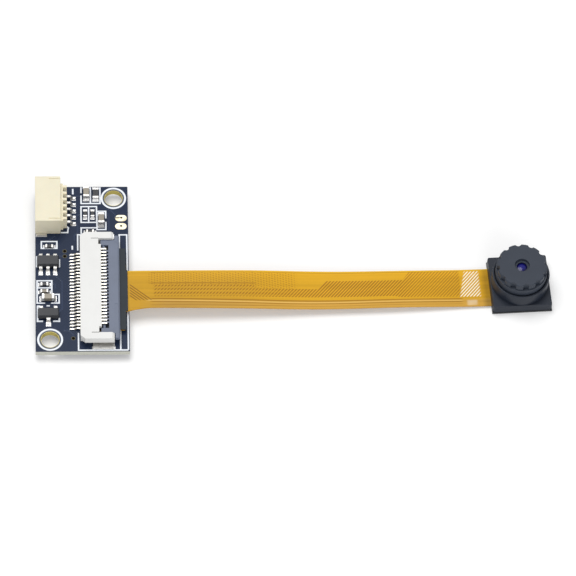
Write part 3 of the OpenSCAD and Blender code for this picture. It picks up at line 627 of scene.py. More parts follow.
# Broader outlines, round the single-lead side of the small chip
BROAD_LINES = (
    ((0.62, -5.86), (0.29, -5.86), (0.28, -8.17), (0.99, -8.17)),
    ((2.3, -8.17), (3.1, -8.17), (3.1, -7.7)),
)
BROAD_SHARE = 1.3
# Printed boxes and bars, by two opposite corners
PRINTED_BOXES = (((6.08, 9.7), (8.14, 7.2)), ((0.8, 4.21), (2.85, 3.13)), ((0.22, -1.92), (2.15, -3.02)))
PRINTED_BARS = (((4.9, 12.52), (5.11, 11.66)), ((4.78, 3.52), (4.99, 2.92)), ((1.45, -5.7), (1.88, -5.9)))
UNDER_BOXES = (
    ((2.5, -5.05), (5.75, -7.6)),
    ((7.55, -5.05), (10.85, -7.4)),
    *(((x, 4.2), (x + 1.0, 0.82)) for x in (0.85, 10.45)),
    *(((x, 8.8), (x + 2.1, 7.6)) for x in (2.15, 5.15)),
    ((0.85, -4.28), (1.75, -7.75)),
)
OVAL_PADS = ((11.37, 7.86), (11.34, 6.57))
THROUGH_VIAS, TOP_VIAS = ((3.87, 2.68), (3.88, 1.89)), ((4.93, -10.82),)
UNDER_VIAS = ((6.4, 9.9), (2.2, 9.9), (10.6, -3.6), (2.4, -3.7), (10.9, 6.4), (1.2, 6.6), (7.0, 10.6))
# Tracks under the lacquer
TRACKS = (
    ((5.25, 7.05), (5.6, 6.7), (5.6, 5.6), (5.15, 5.15), (5.15, 4.4)),
    ((4.75, 8.05), (5.45, 8.05), (5.6, 8.42), (6.3, 8.42)),
    ((5.2, 11.05), (5.6, 11.45), (6.2, 11.45)),
    ((8.7, 8.75), (9.4, 8.75), (9.75, 8.4), (9.75, 5.9)),
    ((8.7, 6.6), (9.6, 6.6)),
    ((9.9, 9.2), (10.6, 8.5), (10.6, 7.92), (11.2, 7.92)),
    ((2.66, 1.9), (3.3, 1.9), (3.6, 1.9)),
    ((1.83, 3.9), (1.83, 4.5), (2.6, 5.1)),
    ((1.66, -1.2), (1.66, -1.9), (2.6, -2.5), (2.6, -3.2)),
    ((2.66, -1.2), (3.5, -2.0), (3.5, -6.2), (3.05, -6.8)),
    ((1.8, -9.0), (1.8, -9.4)),
    ((3.6, -9.6), (4.3, -9.6), (4.93, -10.23), (4.93, -10.54)),
)
UNDER_TRACKS = (
    ((2.65, 2.6), (1.95, 2.6), (1.6, 3.0)),
    *(((2.65, y), (1.6, y)) for y in (1.6, -0.4)),
    ((9.65, 2.6), (10.4, 3.2), (10.8, 3.2)),
    *(((9.65, y), (10.8, y)) for y in (1.6, -0.4)),
    ((4.6, -2.8), (4.6, -3.6), (4.1, -4.2), (4.1, -4.7)),
    ((5.6, -2.8), (5.6, -4.6), (6.2, -5.2), (6.2, -8.4)),
    ((7.6, -2.8), (7.6, -4.2), (8.3, -4.9), (8.3, -5.2)),
    ((8.6, -2.8), (8.6, -3.8), (8.9, -4.1), (8.9, -5.2)),
    *(((x, 4.2), (x, 4.9)) for x in (3.4, 4.6, 5.8, 8.2, 9.4)),
    ((3.4, 5.9), (3.4, 6.8), (2.6, 7.6), (2.6, 7.9)),
    ((5.8, 5.9), (5.8, 7.2), (5.6, 7.4), (5.6, 7.9)),
    ((9.4, 5.9), (9.4, 9.2), (8.9, 9.9), (6.4, 9.9)),
    ((1.3, -4.5), (1.3, -3.2), (2.2, -2.3), (2.65, -2.3)),
)
# Radii from a fixing hole's plated wall out to the edge of the bare land round it
WALL_IN, WALL_OUT, RIM_OUT, LAND_OUT = 1.188 * MM, 1.204 * MM, 1.22 * MM, 1.44 * MM
RIM_RISE, TRACK_RISE = 0.008 * MM, 0.010 * MM
VIA_IN, VIA_OUT, VIA_MOUTH = 0.22 * MM, 0.29 * MM, 0.23 * MM
OVAL_SHIFT, OVAL_HALF, OVAL_SPOT, SPOT_AT = 0.27 * MM, 0.49 * MM, 0.14 * MM, (0.04 * MM, 0.06 * MM)
# Shares of an oval pad's rise, so that its three plates' tops stay apart, and of its dark spot's, which is
# painted shade in the pad's hole
END_RISE, MIDDLE_RISE, SPOT_RISE = 0.98, 0.96, 1.3
# A via's mouth, a dark disc of painted shade in its hole, starts and ends this share of the tracks' rise
# inside its rim; sides of small rings and of the spots, and the spots' length over their width
MOUTH_INSIDE, SMALL_STEPS, SPOT_STEPS, SPOT_STRETCH = 0.2, 24, 20, 1.25
# Added to each stroke's thickness, so that no two faces lie in one plane where strokes cross
THICKER = 0.02


def lacquer_finish(name, given, lighter, shine):
    colors = {"Mask": [c * lighter for c in given.mask], "Laminate": given.laminate}
    gloss = {"Specular_IOR_Level": shine, "Coat_Weight": 0.03, "Coat_Roughness": 0.15}
    return finish_with(name, lacquered_board, colors, **gloss)


def print_outlines(given):
    """Rings, outlines and bars printed on both faces."""
    top, under = bmesh.new(), bmesh.new()
    width, thick = given.line_width, given.ink_height
    radii = [given.ring_radius + side * given.ring_width / 2 for side in (-1, 1)]
    for spot in HOLES:
        ring(top, on_board(*spot), *radii, TOP, TOP + thick)
        ring(under, on_board(*spot), *radii, UNDER - thick, UNDER)
    for paths, share in ((PRINTED_LINES, 1.0), (BROAD_LINES, BROAD_SHARE)):
        for path in paths:
            thick += THICKER * given.ink_height
            stroke(top, path, width * share, TOP, TOP + thick)
    for boxes, is_top in ((PRINTED_BOXES, True), (UNDER_BOXES, False)):
        for (x0, y0), (x1, y1) in boxes:
            thick += THICKER * given.ink_height
            corners = ((x0, y0), (x1, y0), (x1, y1), (x0, y1))
            if is_top:
                stroke(top, corners, width, TOP, TOP + thick, closed=True)
            else:
                stroke(under, corners, width, UNDER - thick, UNDER, closed=True)
    for (x0, y1), (x1, y0) in PRINTED_BARS:
        block(top, (*on_board(x0, y0), TOP), (*on_board(x1, y1), TOP + given.ink_height))
    ink = moulding("printing_ink", given.ink)
    piece("board_printing", top, ink)
    piece("underside_printing", under, ink)


def plate_holes(gold):
    """The metal that lines the fixing holes, with the unprinted land round each rim."""
    mesh, lands = bmesh.new(), bmesh.new()
    for spot in HOLES:
        centre = on_board(*spot)
        ring(mesh, centre, WALL_IN, WALL_OUT, UNDER, TOP)
        for low, high in ((TOP, TOP + RIM_RISE), (UNDER - RIM_RISE, UNDER)):
            ring(mesh, centre, WALL_IN, RIM_OUT, low, high)
            ring(lands, centre, RIM_OUT, LAND_OUT, low, high)
    piece("hole_plating", mesh, gold)
    piece("hole_lands", lands, moulding("bare_land", (0.060, 0.070, 0.090)))


def lay_copper(given, lacquer):
    """Tracks under the lacquer, via rims and the two oval pads, with dark discs of painted shade in the vias'
    and pads' holes.
    """
    top, under, pads, rims, holes = (bmesh.new() for _ in range(5))
    rise, inside, width = TRACK_RISE, MOUTH_INSIDE * TRACK_RISE, given.track_width
    for mesh, paths, spots, low, high in (
        (top, TRACKS, THROUGH_VIAS + TOP_VIAS, TOP, TOP + rise),
        (under, UNDER_TRACKS, THROUGH_VIAS + UNDER_VIAS, UNDER - rise, UNDER),
    ):
        for path in paths:
            stroke(mesh, path, width, low, high)
        for spot in spots:
            ring(rims, on_board(*spot), VIA_IN, VIA_OUT, low, high, SMALL_STEPS)
            disc(holes, on_board(*spot), VIA_MOUTH, low + inside, high - inside, SMALL_STEPS)
    for spot in OVAL_PADS:
        centre = Vector(on_board(*spot))
        shift = Vector((OVAL_SHIFT, 0.0))
        start, end = centre - shift, centre + shift
        disc(pads, start, OVAL_HALF, TOP, TOP + rise)
        disc(pads, end, OVAL_HALF, TOP, TOP + rise * END_RISE)
        low, high = (start.x, start.y - OVAL_HALF, TOP), (end.x, end.y + OVAL_HALF, TOP + rise * MIDDLE_RISE)
        block(pads, low, high)
        spot = centre + Vector(SPOT_AT)
        disc(holes, spot, OVAL_SPOT, TOP + rise, TOP + SPOT_RISE * rise, SPOT_STEPS, SPOT_STRETCH)
    piece("board_tracks", top, lacquer)
    piece("underside_tracks", under, lacquer)
    piece("board_pads", pads, metal("pad_tin", (0.76, 0.70, 0.53)))
    piece("via_rims", rims, moulding("via_lacquer", (0.060, 0.055, 0.015)))
    # painted shade: near-black discs stand for the shade inside the vias' and pads' holes
    dark = moulding("painted_hole_shade", (0.010, 0.007, 0.004), Specular_IOR_Level=0.0)
    piece("painted_hole_shade", holes, dark)


class CAMERAMODULE_OT_board(bpy.types.Operator):
    """Finish the board and add its printing, plated holes, pads, vias and tracks"""

    bl_idname = "camera_module.board"
    bl_label = "Board"

    def execute(self, context):
        given = context.scene.camera_module_board
        paint(lacquer_finish("board_lacquer", given, 1.0, 0.12), "circuit_board")
        print_outlines(given)
        plate_holes(metal("hole_plating", given.plating))
        lay_copper(given, lacquer_finish("track_lacquer", given, 1.3, 0.15))
        return {"FINISHED"}


# ---- solder ----

# A fillet's outline, as shares of its run along the board and its rise up the wall
FILLET = ((0.0, 0.0), (1.0, 0.0), (0.45, 0.22), (0.16, 0.58), (0.0, 1.0))
PAD_RISE, LEAD_PAD_RISE, TAB_PAD_RISE = 0.010 * MM, 0.012 * MM, 0.014 * MM
# At a chip's end: the fillet's width and greatest rise as shares of the chip's, and its run
CHIP_WIDTH, CHIP_RISE, CHIP_RUN = 0.92, 0.6, 0.24 * MM
# The pad there: where it starts and ends beyond the chip, and its half width as a share of the chip's width
PAD_START, PAD_END, PAD_HALF_WIDTH = 0.02 * MM, 0.32 * MM, 0.54
# At a lead's toe: the fillet's share of the lead's width, and its run and rise
TOE_WIDTH, TOE_SIZE = 0.9, 0.07 * MM
# For each part with leads: how far a pad reaches in under the lead and out beyond it, in millimetres,
# and how much broader than the lead it is, as a share
NEAR_LEAD, FAR_LEAD = (0.46, 0.30, 0.3), (0.46, 0.03, 0.1)
SOCKET_LEAD, RIBBON_LEAD = (0.62, 0.08, 1.0), (0.46, 0.08, 0.0)
# How far tabs' pads start inside their edge; run and rise beside a leadless pad
TAB_INSIDE, LEADLESS_RUN, LEADLESS_RISE = 0.5 * MM, 0.18 * MM, 0.12 * MM
# A pad this close to the side of its chip's outline is on that side
ON_SIDE = 1e-5
# Smallest distance from a tab's pad to the board's edge
EDGE_GAP = 0.05 * MM


def sign(value):
    return 1.0 if value > 0 else -1.0


def fillet(mesh, foot, out, width, run, rise, ground=TOP, sink=False):
    """A concave heap of solder against an upright wall, standing at the wall's foot."""
    out = Vector(out).normalized()
    across = Vector((-out.y, out.x)) * width
    verts = []
    for reach, height in FILLET:
        spot = Vector(foot) + out * reach * run - across / 2
        verts.append(mesh.verts.new((*spot, ground + (-height if sink else height) * rise)))
    face = bmesh.ops.contextual_create(mesh, geom=verts)["faces"][0]
    grown = bmesh.ops.extrude_face_region(mesh, geom=[face])["geom"]
    bmesh.ops.translate(mesh, vec=(*across, 0.0), verts=only(bmesh.types.BMVert, grown))


def pad(mesh, start, end, out, half, low, high):
    """A flat pad from start to end, with a half width to each side."""
    across = Vector((-out.y, out.x)) * half
    spots = [spot + side * across for spot in (start, end) for side in (-1, 1)]
    xs, ys = zip(*spots)
    block(mesh, (min(xs), min(ys), low), (max(xs), max(ys), high))


def islands(node_name):
    """The box of each separate solid in one of the frame's parts."""
    mesh = copy_of(node_name)
    boxes, seen = [], set()
    for start in mesh.verts:
        if start in seen:
            continue
        stack, found = [start], []
        seen.add(start)
        while stack:
            vert = stack.pop()
            found.append(vert.co.copy())
            others = {edge.other_vert(vert) for edge in vert.link_edges} - seen
            seen |= others
            stack += others
        boxes.append([Vector([pick(p[i] for p in found) for i in range(3)]) for pick in (min, max)])
    mesh.free()
    return boxes


def middle_of(node_name):
    low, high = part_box(node_name)
    return (Vector(low) + Vector(high)) / 2


def far_end(low, high, out):
    """The middle of a box's end that faces outward, and the width of that end."""
    centre = (low + high) / 2
    if out.x:
        return Vector((high.x if out.x > 0 else low.x, centre.y)), high.y - low.y
    return Vector((centre.x, high.y if out.y > 0 else low.y)), high.x - low.x


def chips(body_node, cap_node):
    """Each chip as its middle, its long direction, its half length, its width and its height."""
    caps = islands(cap_node)
    for low, high in islands(body_node):
        middle = (low + high) / 2
        near = sorted(caps, key=lambda c: ((c[0] + c[1]) / 2 - middle).length)[:2]
        a, b = [(c[0] + c[1]) / 2 for c in near]
        along = Vector((b.x - a.x, b.y - a.y)).normalized()
        lows = Vector([min(c[0][i] for c in near) for i in range(3)])
        highs = Vector([max(c[1][i] for c in near) for i in range(3)])
        size = highs - lows
        span, width = (size.x, size.y) if abs(along.x) > 0.5 else (size.y, size.x)
        yield ((lows + highs) / 2).xy, along, span / 2, width, size.z


def chip_solder(mesh, chip, rise, ground, sink):
    """A fillet and a pad at each end of a chip."""
    middle, along, half, width, height = chip
    low, high = (ground - PAD_RISE, ground) if sink else (ground, ground + PAD_RISE)
    for out in (-along, along):
        foot = middle + out * half
        fillet(mesh, foot, out, width * CHIP_WIDTH, CHIP_RUN, min(rise, height * CHIP_RISE), ground, sink)
        start, end = foot + out * PAD_START, foot + out * PAD_END
        pad(mesh, start, end, out, width * PAD_HALF_WIDTH, low, high)


def foot_solder(mesh, low, high, out, sizes):
    """A pad under a lead's foot, with solder at its toe."""
    reach, beyond, broader = sizes
    toe, width = far_end(low, high, out)
    start, end = toe - out * reach * MM, toe + out * beyond * MM
    pad(mesh, start, end, out, width / 2 * (1 + broader), TOP, TOP + LEAD_PAD_RISE)
    fillet(mesh, toe, out, width * TOE_WIDTH, TOE_SIZE, TOE_SIZE)


def chip_leads(mesh, part):
    """A moulded chip's leads, whose pads are larger on the near side."""
    for low, high in islands(part + "_leads"):
        out = Vector((0.0, sign((low.y + high.y) / 2 - middle_of(part + "_body").y)))
        foot_solder(mesh, low, high, out, FAR_LEAD if out.y > 0 else NEAR_LEAD)


def lead_solder(mesh, node_name, way, sizes):
    """A connector's contacts, which all point one way along X."""
    for low, high in islands(node_name):
        foot_solder(mesh, low, high, Vector((way, 0.0)), sizes)


def tab_solder(mesh):
    """Broad pads under the solder tabs of both connectors."""
    for node_name, grow in (("wire_socket_tabs", 0.10 * MM), ("ribbon_connector_tabs", 0.12 * MM)):
        for low, high in islands(node_name):
            outer = sign((low.y + high.y) / 2 - middle_of(node_name).y)
            sides = (high.y, BOARD_HIGH[1], min) if outer > 0 else (low.y, BOARD_LOW[1], max)
            edge, limit, nearer = sides
            ends = (edge - outer * TAB_INSIDE, nearer(edge + outer * grow, limit - outer * EDGE_GAP))
            left = max(low.x - grow, BOARD_LOW[0] + EDGE_GAP)
            block(mesh, (left, min(ends), TOP), (high.x + grow, max(ends), TOP + TAB_PAD_RISE))


def leadless_solder(mesh):
    """The thin bead of solder beside each pad of the leadless chips."""
    for node_name in ("controller_pads", "memory_pads"):
        middle = middle_of(node_name)
        box_low, box_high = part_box(node_name)
        for low, high in islands(node_name):
            centre = (low + high) / 2
            on_x_side = min(low.x - box_low[0], box_high[0] - high.x) < ON_SIDE
            if on_x_side and high.x - low.x > high.y - low.y:
                out = Vector((sign(centre.x - middle.x), 0.0))
            else:
                out = Vector((0.0, sign(centre.y - middle.y)))
            toe, width = far_end(low, high, out)
            fillet(mesh, toe, out, width, LEADLESS_RUN, LEADLESS_RISE, UNDER, True)


class CAMERAMODULE_OT_solder(bpy.types.Operator):
    """Add the solder at every lead, tab and chip end, with the pads under it"""

    bl_idname = "camera_module.solder"
    bl_label = "Solder"

    def execute(self, context):
        rise = context.scene.camera_module_parts.fillet_rise
        top, under = bmesh.new(), bmesh.new()
        for kind in ("capacitor", "resistor"):
            for chip in chips(kind + "_bodies", kind + "_ends"):
                chip_solder(top, chip, rise, TOP, False)
            for chip in chips(f"underside_{kind}_bodies", f"underside_{kind}_ends"):
                chip_solder(under, chip, rise, UNDER, True)
        for part in ("regulator", "transistor"):
            chip_leads(top, part)
        lead_solder(top, "wire_socket_contacts", 1.0, SOCKET_LEAD)
        lead_solder(top, "ribbon_connector_contacts", -1.0, RIBBON_LEAD)
        tab_solder(top)
        leadless_solder(under)
        shiny = metal("solder", context.scene.camera_module_board.solder)
        piece("board_solder", top, shiny)
        piece("underside_solder", under, shiny)
        return {"FINISHED"}


# ---- parts on the board ----


class CAMERAMODULE_OT_wire_socket(bpy.types.Operator):
    """Finish the wire socket"""

    bl_idname = "camera_module.wire_socket"
    bl_label = "Wire Socket"

    def execute(self, context):
        depth = (0.8 * MM, 0.6 * MM, 0.4 * MM)
        color = context.scene.camera_module_parts.socket
        nylon = moulding("socket_nylon", color, Subsurface_Weight=0.12, Subsurface_Radius=depth)
        softened("wire_socket_shell", "wire_socket_housing", 0.035, nylon)
        paint(tin_plate(), "wire_socket_contacts", "wire_socket_tabs")
        return {"FINISHED"}


class CAMERAMODULE_OT_ribbon_connector(bpy.types.Operator):
    """Finish the ribbon connector and its latch"""

    bl_idname = "camera_module.ribbon_connector"
    bl_label = "Ribbon Connector"

    def execute(self, context):
        parts = context.scene.camera_module_parts
        paint(moulding("connector_polymer", parts.housing), "ribbon_connector_housing")
        # the latch's blue-grey is partly a painted reflection on a black part
        paint(moulding("latch_polymer_and_reflection", parts.latch), "ribbon_connector_latch")
        paint(metal("contact_plate", (0.80, 0.77, 0.68)), "ribbon_connector_contacts")
        paint(tin_plate(), "ribbon_connector_tabs")
        return {"FINISHED"}


class CAMERAMODULE_OT_chips(bpy.types.Operator):
    """Finish the chips, capacitors and resistors on the board's top"""

    bl_idname = "camera_module.chips"
    bl_label = "Chips"

    def execute(self, context):
        parts = context.scene.camera_module_parts
        epoxy = moulding("chip_epoxy", parts.epoxy)
        for name in ("regulator", "transistor"):
            softened(name + "_shell", name + "_body", 0.05, epoxy)
            paint(tin_plate(), name + "_leads")
        paint(moulding("fired_ceramic", parts.capacitor), "capacitor_bodies")
        paint(moulding("resistor_glaze", (0.022, 0.022, 0.026)), "resistor_bodies")
        softened("capacitor_caps", "capacitor_ends", 0.03, tin_plate())
        softened("resistor_caps", "resistor_ends", 0.02, tin_plate())
        return {"FINISHED"}


class CAMERAMODULE_OT_underside(bpy.types.Operator):
    """Finish the chips under the board"""

    bl_idname = "camera_module.underside"
    bl_label = "Underside"

    def execute(self, context):
        for name in ("controller", "memory"):
            softened(name + "_shell", name + "_body", 0.03, FINISHES["chip_epoxy"])
            paint(tin_plate(), name + "_pads")
        paint(moulding("crystal_ceramic", (0.12, 0.095, 0.075)), "crystal_base")
        nickel = metal("crystal_nickel", (0.66, 0.62, 0.52))
        softened("crystal_cover", "crystal_lid", 0.05, nickel)
        for name, body in (("capacitor", "fired_ceramic"), ("resistor", "resistor_glaze")):
            start = "underside_" + name
            paint(FINISHES[body], start + "_bodies")
            softened(start + "_caps", start + "_ends", 0.02, tin_plate())
        return {"FINISHED"}


# ---- ribbon ----

# The film as in the frame, in millimetres: wide in the connector, narrow on the run, square under the head
END_X, SHOULDER_X, RUN_X, SHOULDER_ROUND = 6.82, 11.86, 12.24, 0.3
END_HALF, RUN_HALF, FLARE, FLARE_LENGTH = 6.25, 2.87, 0.48, 3.2
RIBBON_Y, RUN_LENGTH, TURN = -3.70, 47.76, math.radians(3.0)
FILM, START_HEIGHT, END_HEIGHT = 0.12, 2.2, 0.25
START_RISE, END_FALL = 1.0, 0.6
HEAD_HALF, PAD_HALF = 3.975, 3.725
# Length of the short step where the film's width changes at once; steps round a shoulder
NARROWING, SHOULDER_STEPS = 0.01, 4
# A real film is never quite even: a low wave from a share of the run on, and a slight twist along it
WAVE, WAVE_START, TWIST, TWIST_START = 0.22, 0.3, 0.135, 0.1
ROWS = 10


def run_side(t):
    """Sideways place of the run's middle at a share of its length."""
    return RIBBON_Y + RUN_LENGTH * math.tan(TURN) / 2 * t * t


def run_height(t, side):
    """Height of the film's underside at a share of the run's length and a distance from its middle."""
    start, rise = 2 * t**3 - 3 * t * t + 1, t**3 - 2 * t * t + t
    end, fall = 3 * t * t - 2 * t**3, t**3 - t * t
    even = start * START_HEIGHT + rise * START_RISE + end * END_HEIGHT - fall * END_FALL
    late = max(0.0, (t - WAVE_START) / (1 - WAVE_START))
    wave = -WAVE * math.sin(2 * math.pi * late) * math.sin(math.pi * late)
    twist = TWIST * math.sin(2 * math.pi * (t - TWIST_START)) * math.sin(math.pi * t) * side / RUN_HALF
    return even + wave + twist


def film_stations(columns):
    """Sections of the film: middle, turn, reach to the far and near sides, and share of the run."""
    found = [(END_X, RIBBON_Y, 0.0, END_HALF, END_HALF, None)]
    for step in range(SHOULDER_STEPS + 1):
        turn = math.radians(90 * step / SHOULDER_STEPS)
        half = END_HALF - SHOULDER_ROUND * (1 - math.cos(turn))
        x = SHOULDER_X - SHOULDER_ROUND + SHOULDER_ROUND * math.sin(turn)
        found.append((x, RIBBON_Y, 0.0, half, half, None))
    found.append((SHOULDER_X + NARROWING, RIBBON_Y, 0.0, RUN_HALF, RUN_HALF + FLARE, None))
    for step in range(columns + 1):
        t = step / columns
        near = RUN_HALF + FLARE * (1 - min(1.0, t * RUN_LENGTH / FLARE_LENGTH)) ** 2
        found.append((RUN_X + RUN_LENGTH * t, run_side(t), math.atan(math.tan(TURN) * t), RUN_HALF, near, t))
    head_x = RUN_X + RUN_LENGTH + HEAD_HALF
    head_y = run_side(1.0) + HEAD_HALF * math.tan(TURN)
    for reach, half in ((-PAD_HALF, RUN_HALF), (NARROWING - PAD_HALF, PAD_HALF), (PAD_HALF, PAD_HALF)):
        x, y = head_x + reach * math.cos(TURN), head_y + reach * math.sin(TURN)
        found.append((x, y, TURN, half, half, 1.0))
    return found


def copper_under_film():
    """The ribbon's copper seen through its film: fan-out, tracks, dots, a diagonal shield and bare edges,
    with painted highlights in the shield's window and painted shade by the head.

    Places are in millimetres, along the run from the board's side and across it from its middle.
    """
    colors = {"Film": (0.52, 0.27, 0.02, 1.0), "Copper": (0.70, 0.42, 0.045, 1.0)}
    sizes = {"Hatch Pitch": 0.43, "Bare Edge": 0.12}
    tree, given = effect("Copper Under Film", {"Along and Across": None, **colors, **sizes})
    mul, sub, most, mul_add, step = tree.mul, tree.sub, tree.most, tree.mul_add, tree.step
    parts = tree.parts(given["Along and Across"])
    along, across = parts["X"], parts["Y"]

    def band(value, low, high, soft):
        """1 between two values, fading over a short distance."""
        return mul(step(sub(value, low), -soft, soft), step(sub(high, value), -soft, soft))

    def lines(value, pitch, share):
        """1 on a share of each pitch, 0 elsewhere, with soft sides."""
        limit = math.cos(math.pi * share)
        return step(tree.wave(value, pitch), limit - 0.55, limit + 0.55)

    def stripe(middle, half):
        """A line along the run."""
        return step(sub(half, tree.math("ABSOLUTE", sub(across, middle))), -0.03, 0.03)

    def staged(level, *changes):
        """A value that changes by steps along the run."""
        for place, amount in changes:
            level = mul_add(step(along, place - 0.5, place + 0.5), amount, level)
        return level

    # diagonal shield, which widens along the run and is broken up by level lines in its first half
    slant = mul_add(across, -0.9, along)
    low_side = staged(-1.10, (35.5, -0.22))
    high_side = staged(0.68, (16.8, -0.53), (25.5, 1.25), (36.8, 1.30))
    inside = mul(band(across, low_side, high_side, 0.05), band(along, 3.3, 43.9, 0.12))
    breaks = mul(lines(sub(across, 0.12), 0.56, 0.5), step(along, 24.0, 14.0))
    hatch = mul(mul(lines(slant, given["Hatch Pitch"], 0.5), inside), mul_add(breaks, -0.8, 1.0))
    # fine dots on the far side of the first half
    dots = mul(lines(along, 0.37, 0.5), lines(mul_add(along, 0.31, across), 0.34, 0.5))
    dots = mul(dots, mul(band(across, high_side, 2.6, 0.1), band(along, 2.6, 22.0, 0.4)))
    # long tracks beside the shield, with a bright line between the near ones
    near_line = mul_add(step(along, 4.0, 20.0), -0.18, -1.48)
    tracks = mul(band(across, 0.88, 1.0, 0.03), step(along, 17.0, 16.6))
    for middle, half in ((near_line, 0.085), (sub(near_line, 0.44), 0.06), (-2.45, 0.035), (2.62, 0.03)):
        tracks = most(tracks, stripe(middle, half))
    tracks = mul(tracks, band(along, 2.9, 44.0, 0.2))
    bright_line = mul(stripe(sub(near_line, 0.24), 0.06), band(along, 2.4, 44.0, 0.2))
    # tracks that fan out of the connector and run into the near ones
    fan_way = mul_add(along, 0.85, across)
    fan_zone = mul(band(along, 0.15, 3.05, 0.08), step(across, -1.75, -1.6))
    fan_zone = mul(fan_zone, band(fan_way, -1.05, 1.0, 0.06))
    fan = mul(lines(sub(fan_way, 0.75), 0.42, 0.38), fan_zone)
    # window of the shield just before the head, whose lines get painted highlights below
    window = mul(band(along, mul_add(across, 0.22, 44.05), 46.5, 0.12), band(across, -1.35, 2.58, 0.08))
    # the film itself: cloudy and streaked, darker towards the connector, with painted shade from just before
    # the head on
    place = tree.place()
    cloud = tree.noise(place, 90.0, 3.0)
    streaks = tree.noise(tree.mapped(given["Along and Across"], Scale=(0.05, 2.2, 1.0)), 1.0, 2.0)
    shade = tree.vary(mul_add(step(along, 0.0, 26.0), 0.16, 0.84), cloud, 0.18)
    shade = tree.vary(mul_add(step(across, 1.0, 2.4), 0.12, shade), streaks, 0.35)
    shade = tree.vary(shade, tree.noise(place, 3200.0, 2.0), 0.06)
    # painted shade: the film darkens where it meets the head and under it
    shade = mul_add(step(along, 46.6, 47.3), -0.35, shade)
    near = mul(step(across, -1.5, -1.9), step(along, 1.0, 5.0))
    copper = tree.shaded(given["Copper"], shade)
    copper = tree.blend(near, copper, tree.shaded((0.62, 0.345, 0.055, 1.0), shade))
    edge = sub(RUN_HALF, tree.math("ABSOLUTE", across))
    bare = step(edge, given["Bare Edge"], mul(given["Bare Edge"], 0.4))
    marks = mul(hatch, mul_add(step(along, 36.0, 38.0), -0.2, 0.88))
    for pattern, share in ((dots, 0.5), (tracks, 0.75), (fan, 0.9), (bare, 0.10)):
        marks = most(marks, mul(pattern, share))
    shown = tree.blend(marks, copper, tree.shaded(given["Film"], shade))
    for pattern, share, color in (
        (fan, 0.5, (0.16, 0.06, 0.008)),
        (step(across, 2.66, 2.8), 0.5, (0.86, 0.60, 0.05)),
        (bright_line, 0.45, (0.90, 0.66, 0.22)),
        (window, 0.25, (0.62, 0.34, 0.03)),
    ):
        shown = tree.blend(mul(pattern, share), shown, color)
    # painted highlights: a near-white spot near the head, and the shield's lines in the window
    painted_spark = mul(band(along, 44.6, 45.95, 0.15), band(across, -2.7, -1.9, 0.12))
    painted_glint = most(mul(lines(slant, 0.44, 0.40), window), mul(painted_spark, step(cloud, 0.40, 0.60)))
    shown = tree.blend(painted_glint, shown, (1.0, 0.94, 0.78))
    rough = mul_add(marks, 0.12, mul_add(cloud, 0.12, 0.24))
    return tree.put_out(shown, rough, sub(mul(cloud, 0.4), mul(marks, 0.25)), 0.25, 0.02 * MM)


def film_sheet(columns):
    """The film as one sheet, with its place along and across the run as its UV map."""
    stations = film_stations(columns)
    last = len(stations) - 1
    mesh = bmesh.new()
    bmesh.ops.create_grid(mesh, x_segments=last, y_segments=ROWS, size=1.0)
    marks = {}
    for vert in mesh.verts:
        x, y, turn, far, near, t = stations[round((vert.co.x + 1) / 2 * last)]
        side = (vert.co.y + 1) / 2 * (far + near) - near
        height = START_HEIGHT if t is None else run_height(t, side)
        flat = on_board(x - side * math.sin(turn), y + side * math.cos(turn))
        vert.co = (*flat, (height + FILM) * MM)
        marks[vert] = (x - RUN_X, side)
    faces = list(mesh.faces)
    layer = mesh.loops.layers.uv.new("film")
    for face in faces:
        for loop in face.loops:
            loop[layer].uv = marks[loop.vert]
    grown = bmesh.ops.extrude_face_region(mesh, geom=faces)["geom"]
    bmesh.ops.translate(mesh, vec=(0, 0, -FILM * MM), verts=only(bmesh.types.BMVert, grown))
    return mesh


def film_finish(given):
    """The copper's pattern, which runs with the film."""
    colors = {"Film": given.film, "Copper": given.copper}
    sizes = {"Hatch Pitch": given.hatch_pitch / MM, "Bare Edge": given.edge / MM}
    gloss = {"Specular_IOR_Level": 0.12, "Coat_Weight": 0.04, "Coat_Roughness": 0.15}
    material = finish_with("ribbon_copper", copper_under_film, {**colors, **sizes}, **gloss)
    tree = Tree(material.node_tree)
    run = tree.node("ShaderNodeUVMap", uv_map="film").outputs["UV"]
    tree.fill(next(n for n in tree.tree.nodes if n.type == "GROUP"), {"Along and Across": run})
    return material


class CAMERAMODULE_OT_ribbon(bpy.types.Operator):
    """Make the ribbon's film with its copper, and finish its stiff end"""

    bl_idname = "camera_module.ribbon"
    bl_label = "Ribbon"

    def execute(self, context):
        given = context.scene.camera_module_ribbon
        made = piece("ribbon_film", film_sheet(given.columns), film_finish(given), sharp=50.0)
        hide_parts("flex_ribbon")
        paint(moulding("stiffener_film", given.stiffener, Specular_IOR_Level=0.15), "ribbon_stiffener")
        return {"FINISHED"}


# ---- camera head ----

# Radii between which painted shade darkens the coating towards the lens's rim
RIM_SHADE_IN, RIM_SHADE_OUT = 0.30 * MM, 0.74 * MM


class CAMERAMODULE_OT_head(bpy.types.Operator):
    """Finish the lens holder, the barrel and the back plate"""

    bl_idname = "camera_module.head"
    bl_label = "Camera Head"

    def execute(self, context):
        given = context.scene.camera_module_head
        holder = moulding("holder_moulding", given.holder, Specular_IOR_Level=0.3)
        barrel = moulding("barrel_moulding", given.barrel, Specular_IOR_Level=0.3)
        plate = moulding("back_plate_paint", given.plate)
        softened("lens_holder_shell", "lens_holder", 0.09, holder, segments=3, sharp=13.0)
        softened("lens_barrel_shell", "lens_barrel", 0.05, barrel, "barrel", sharp=19.0)
        softened("back_plate_shell", "head_back_plate", 0.04, plate)
        paint(barrel, "front_spacer", "middle_spacer", "retaining_ring")
        return {"FINISHED"}


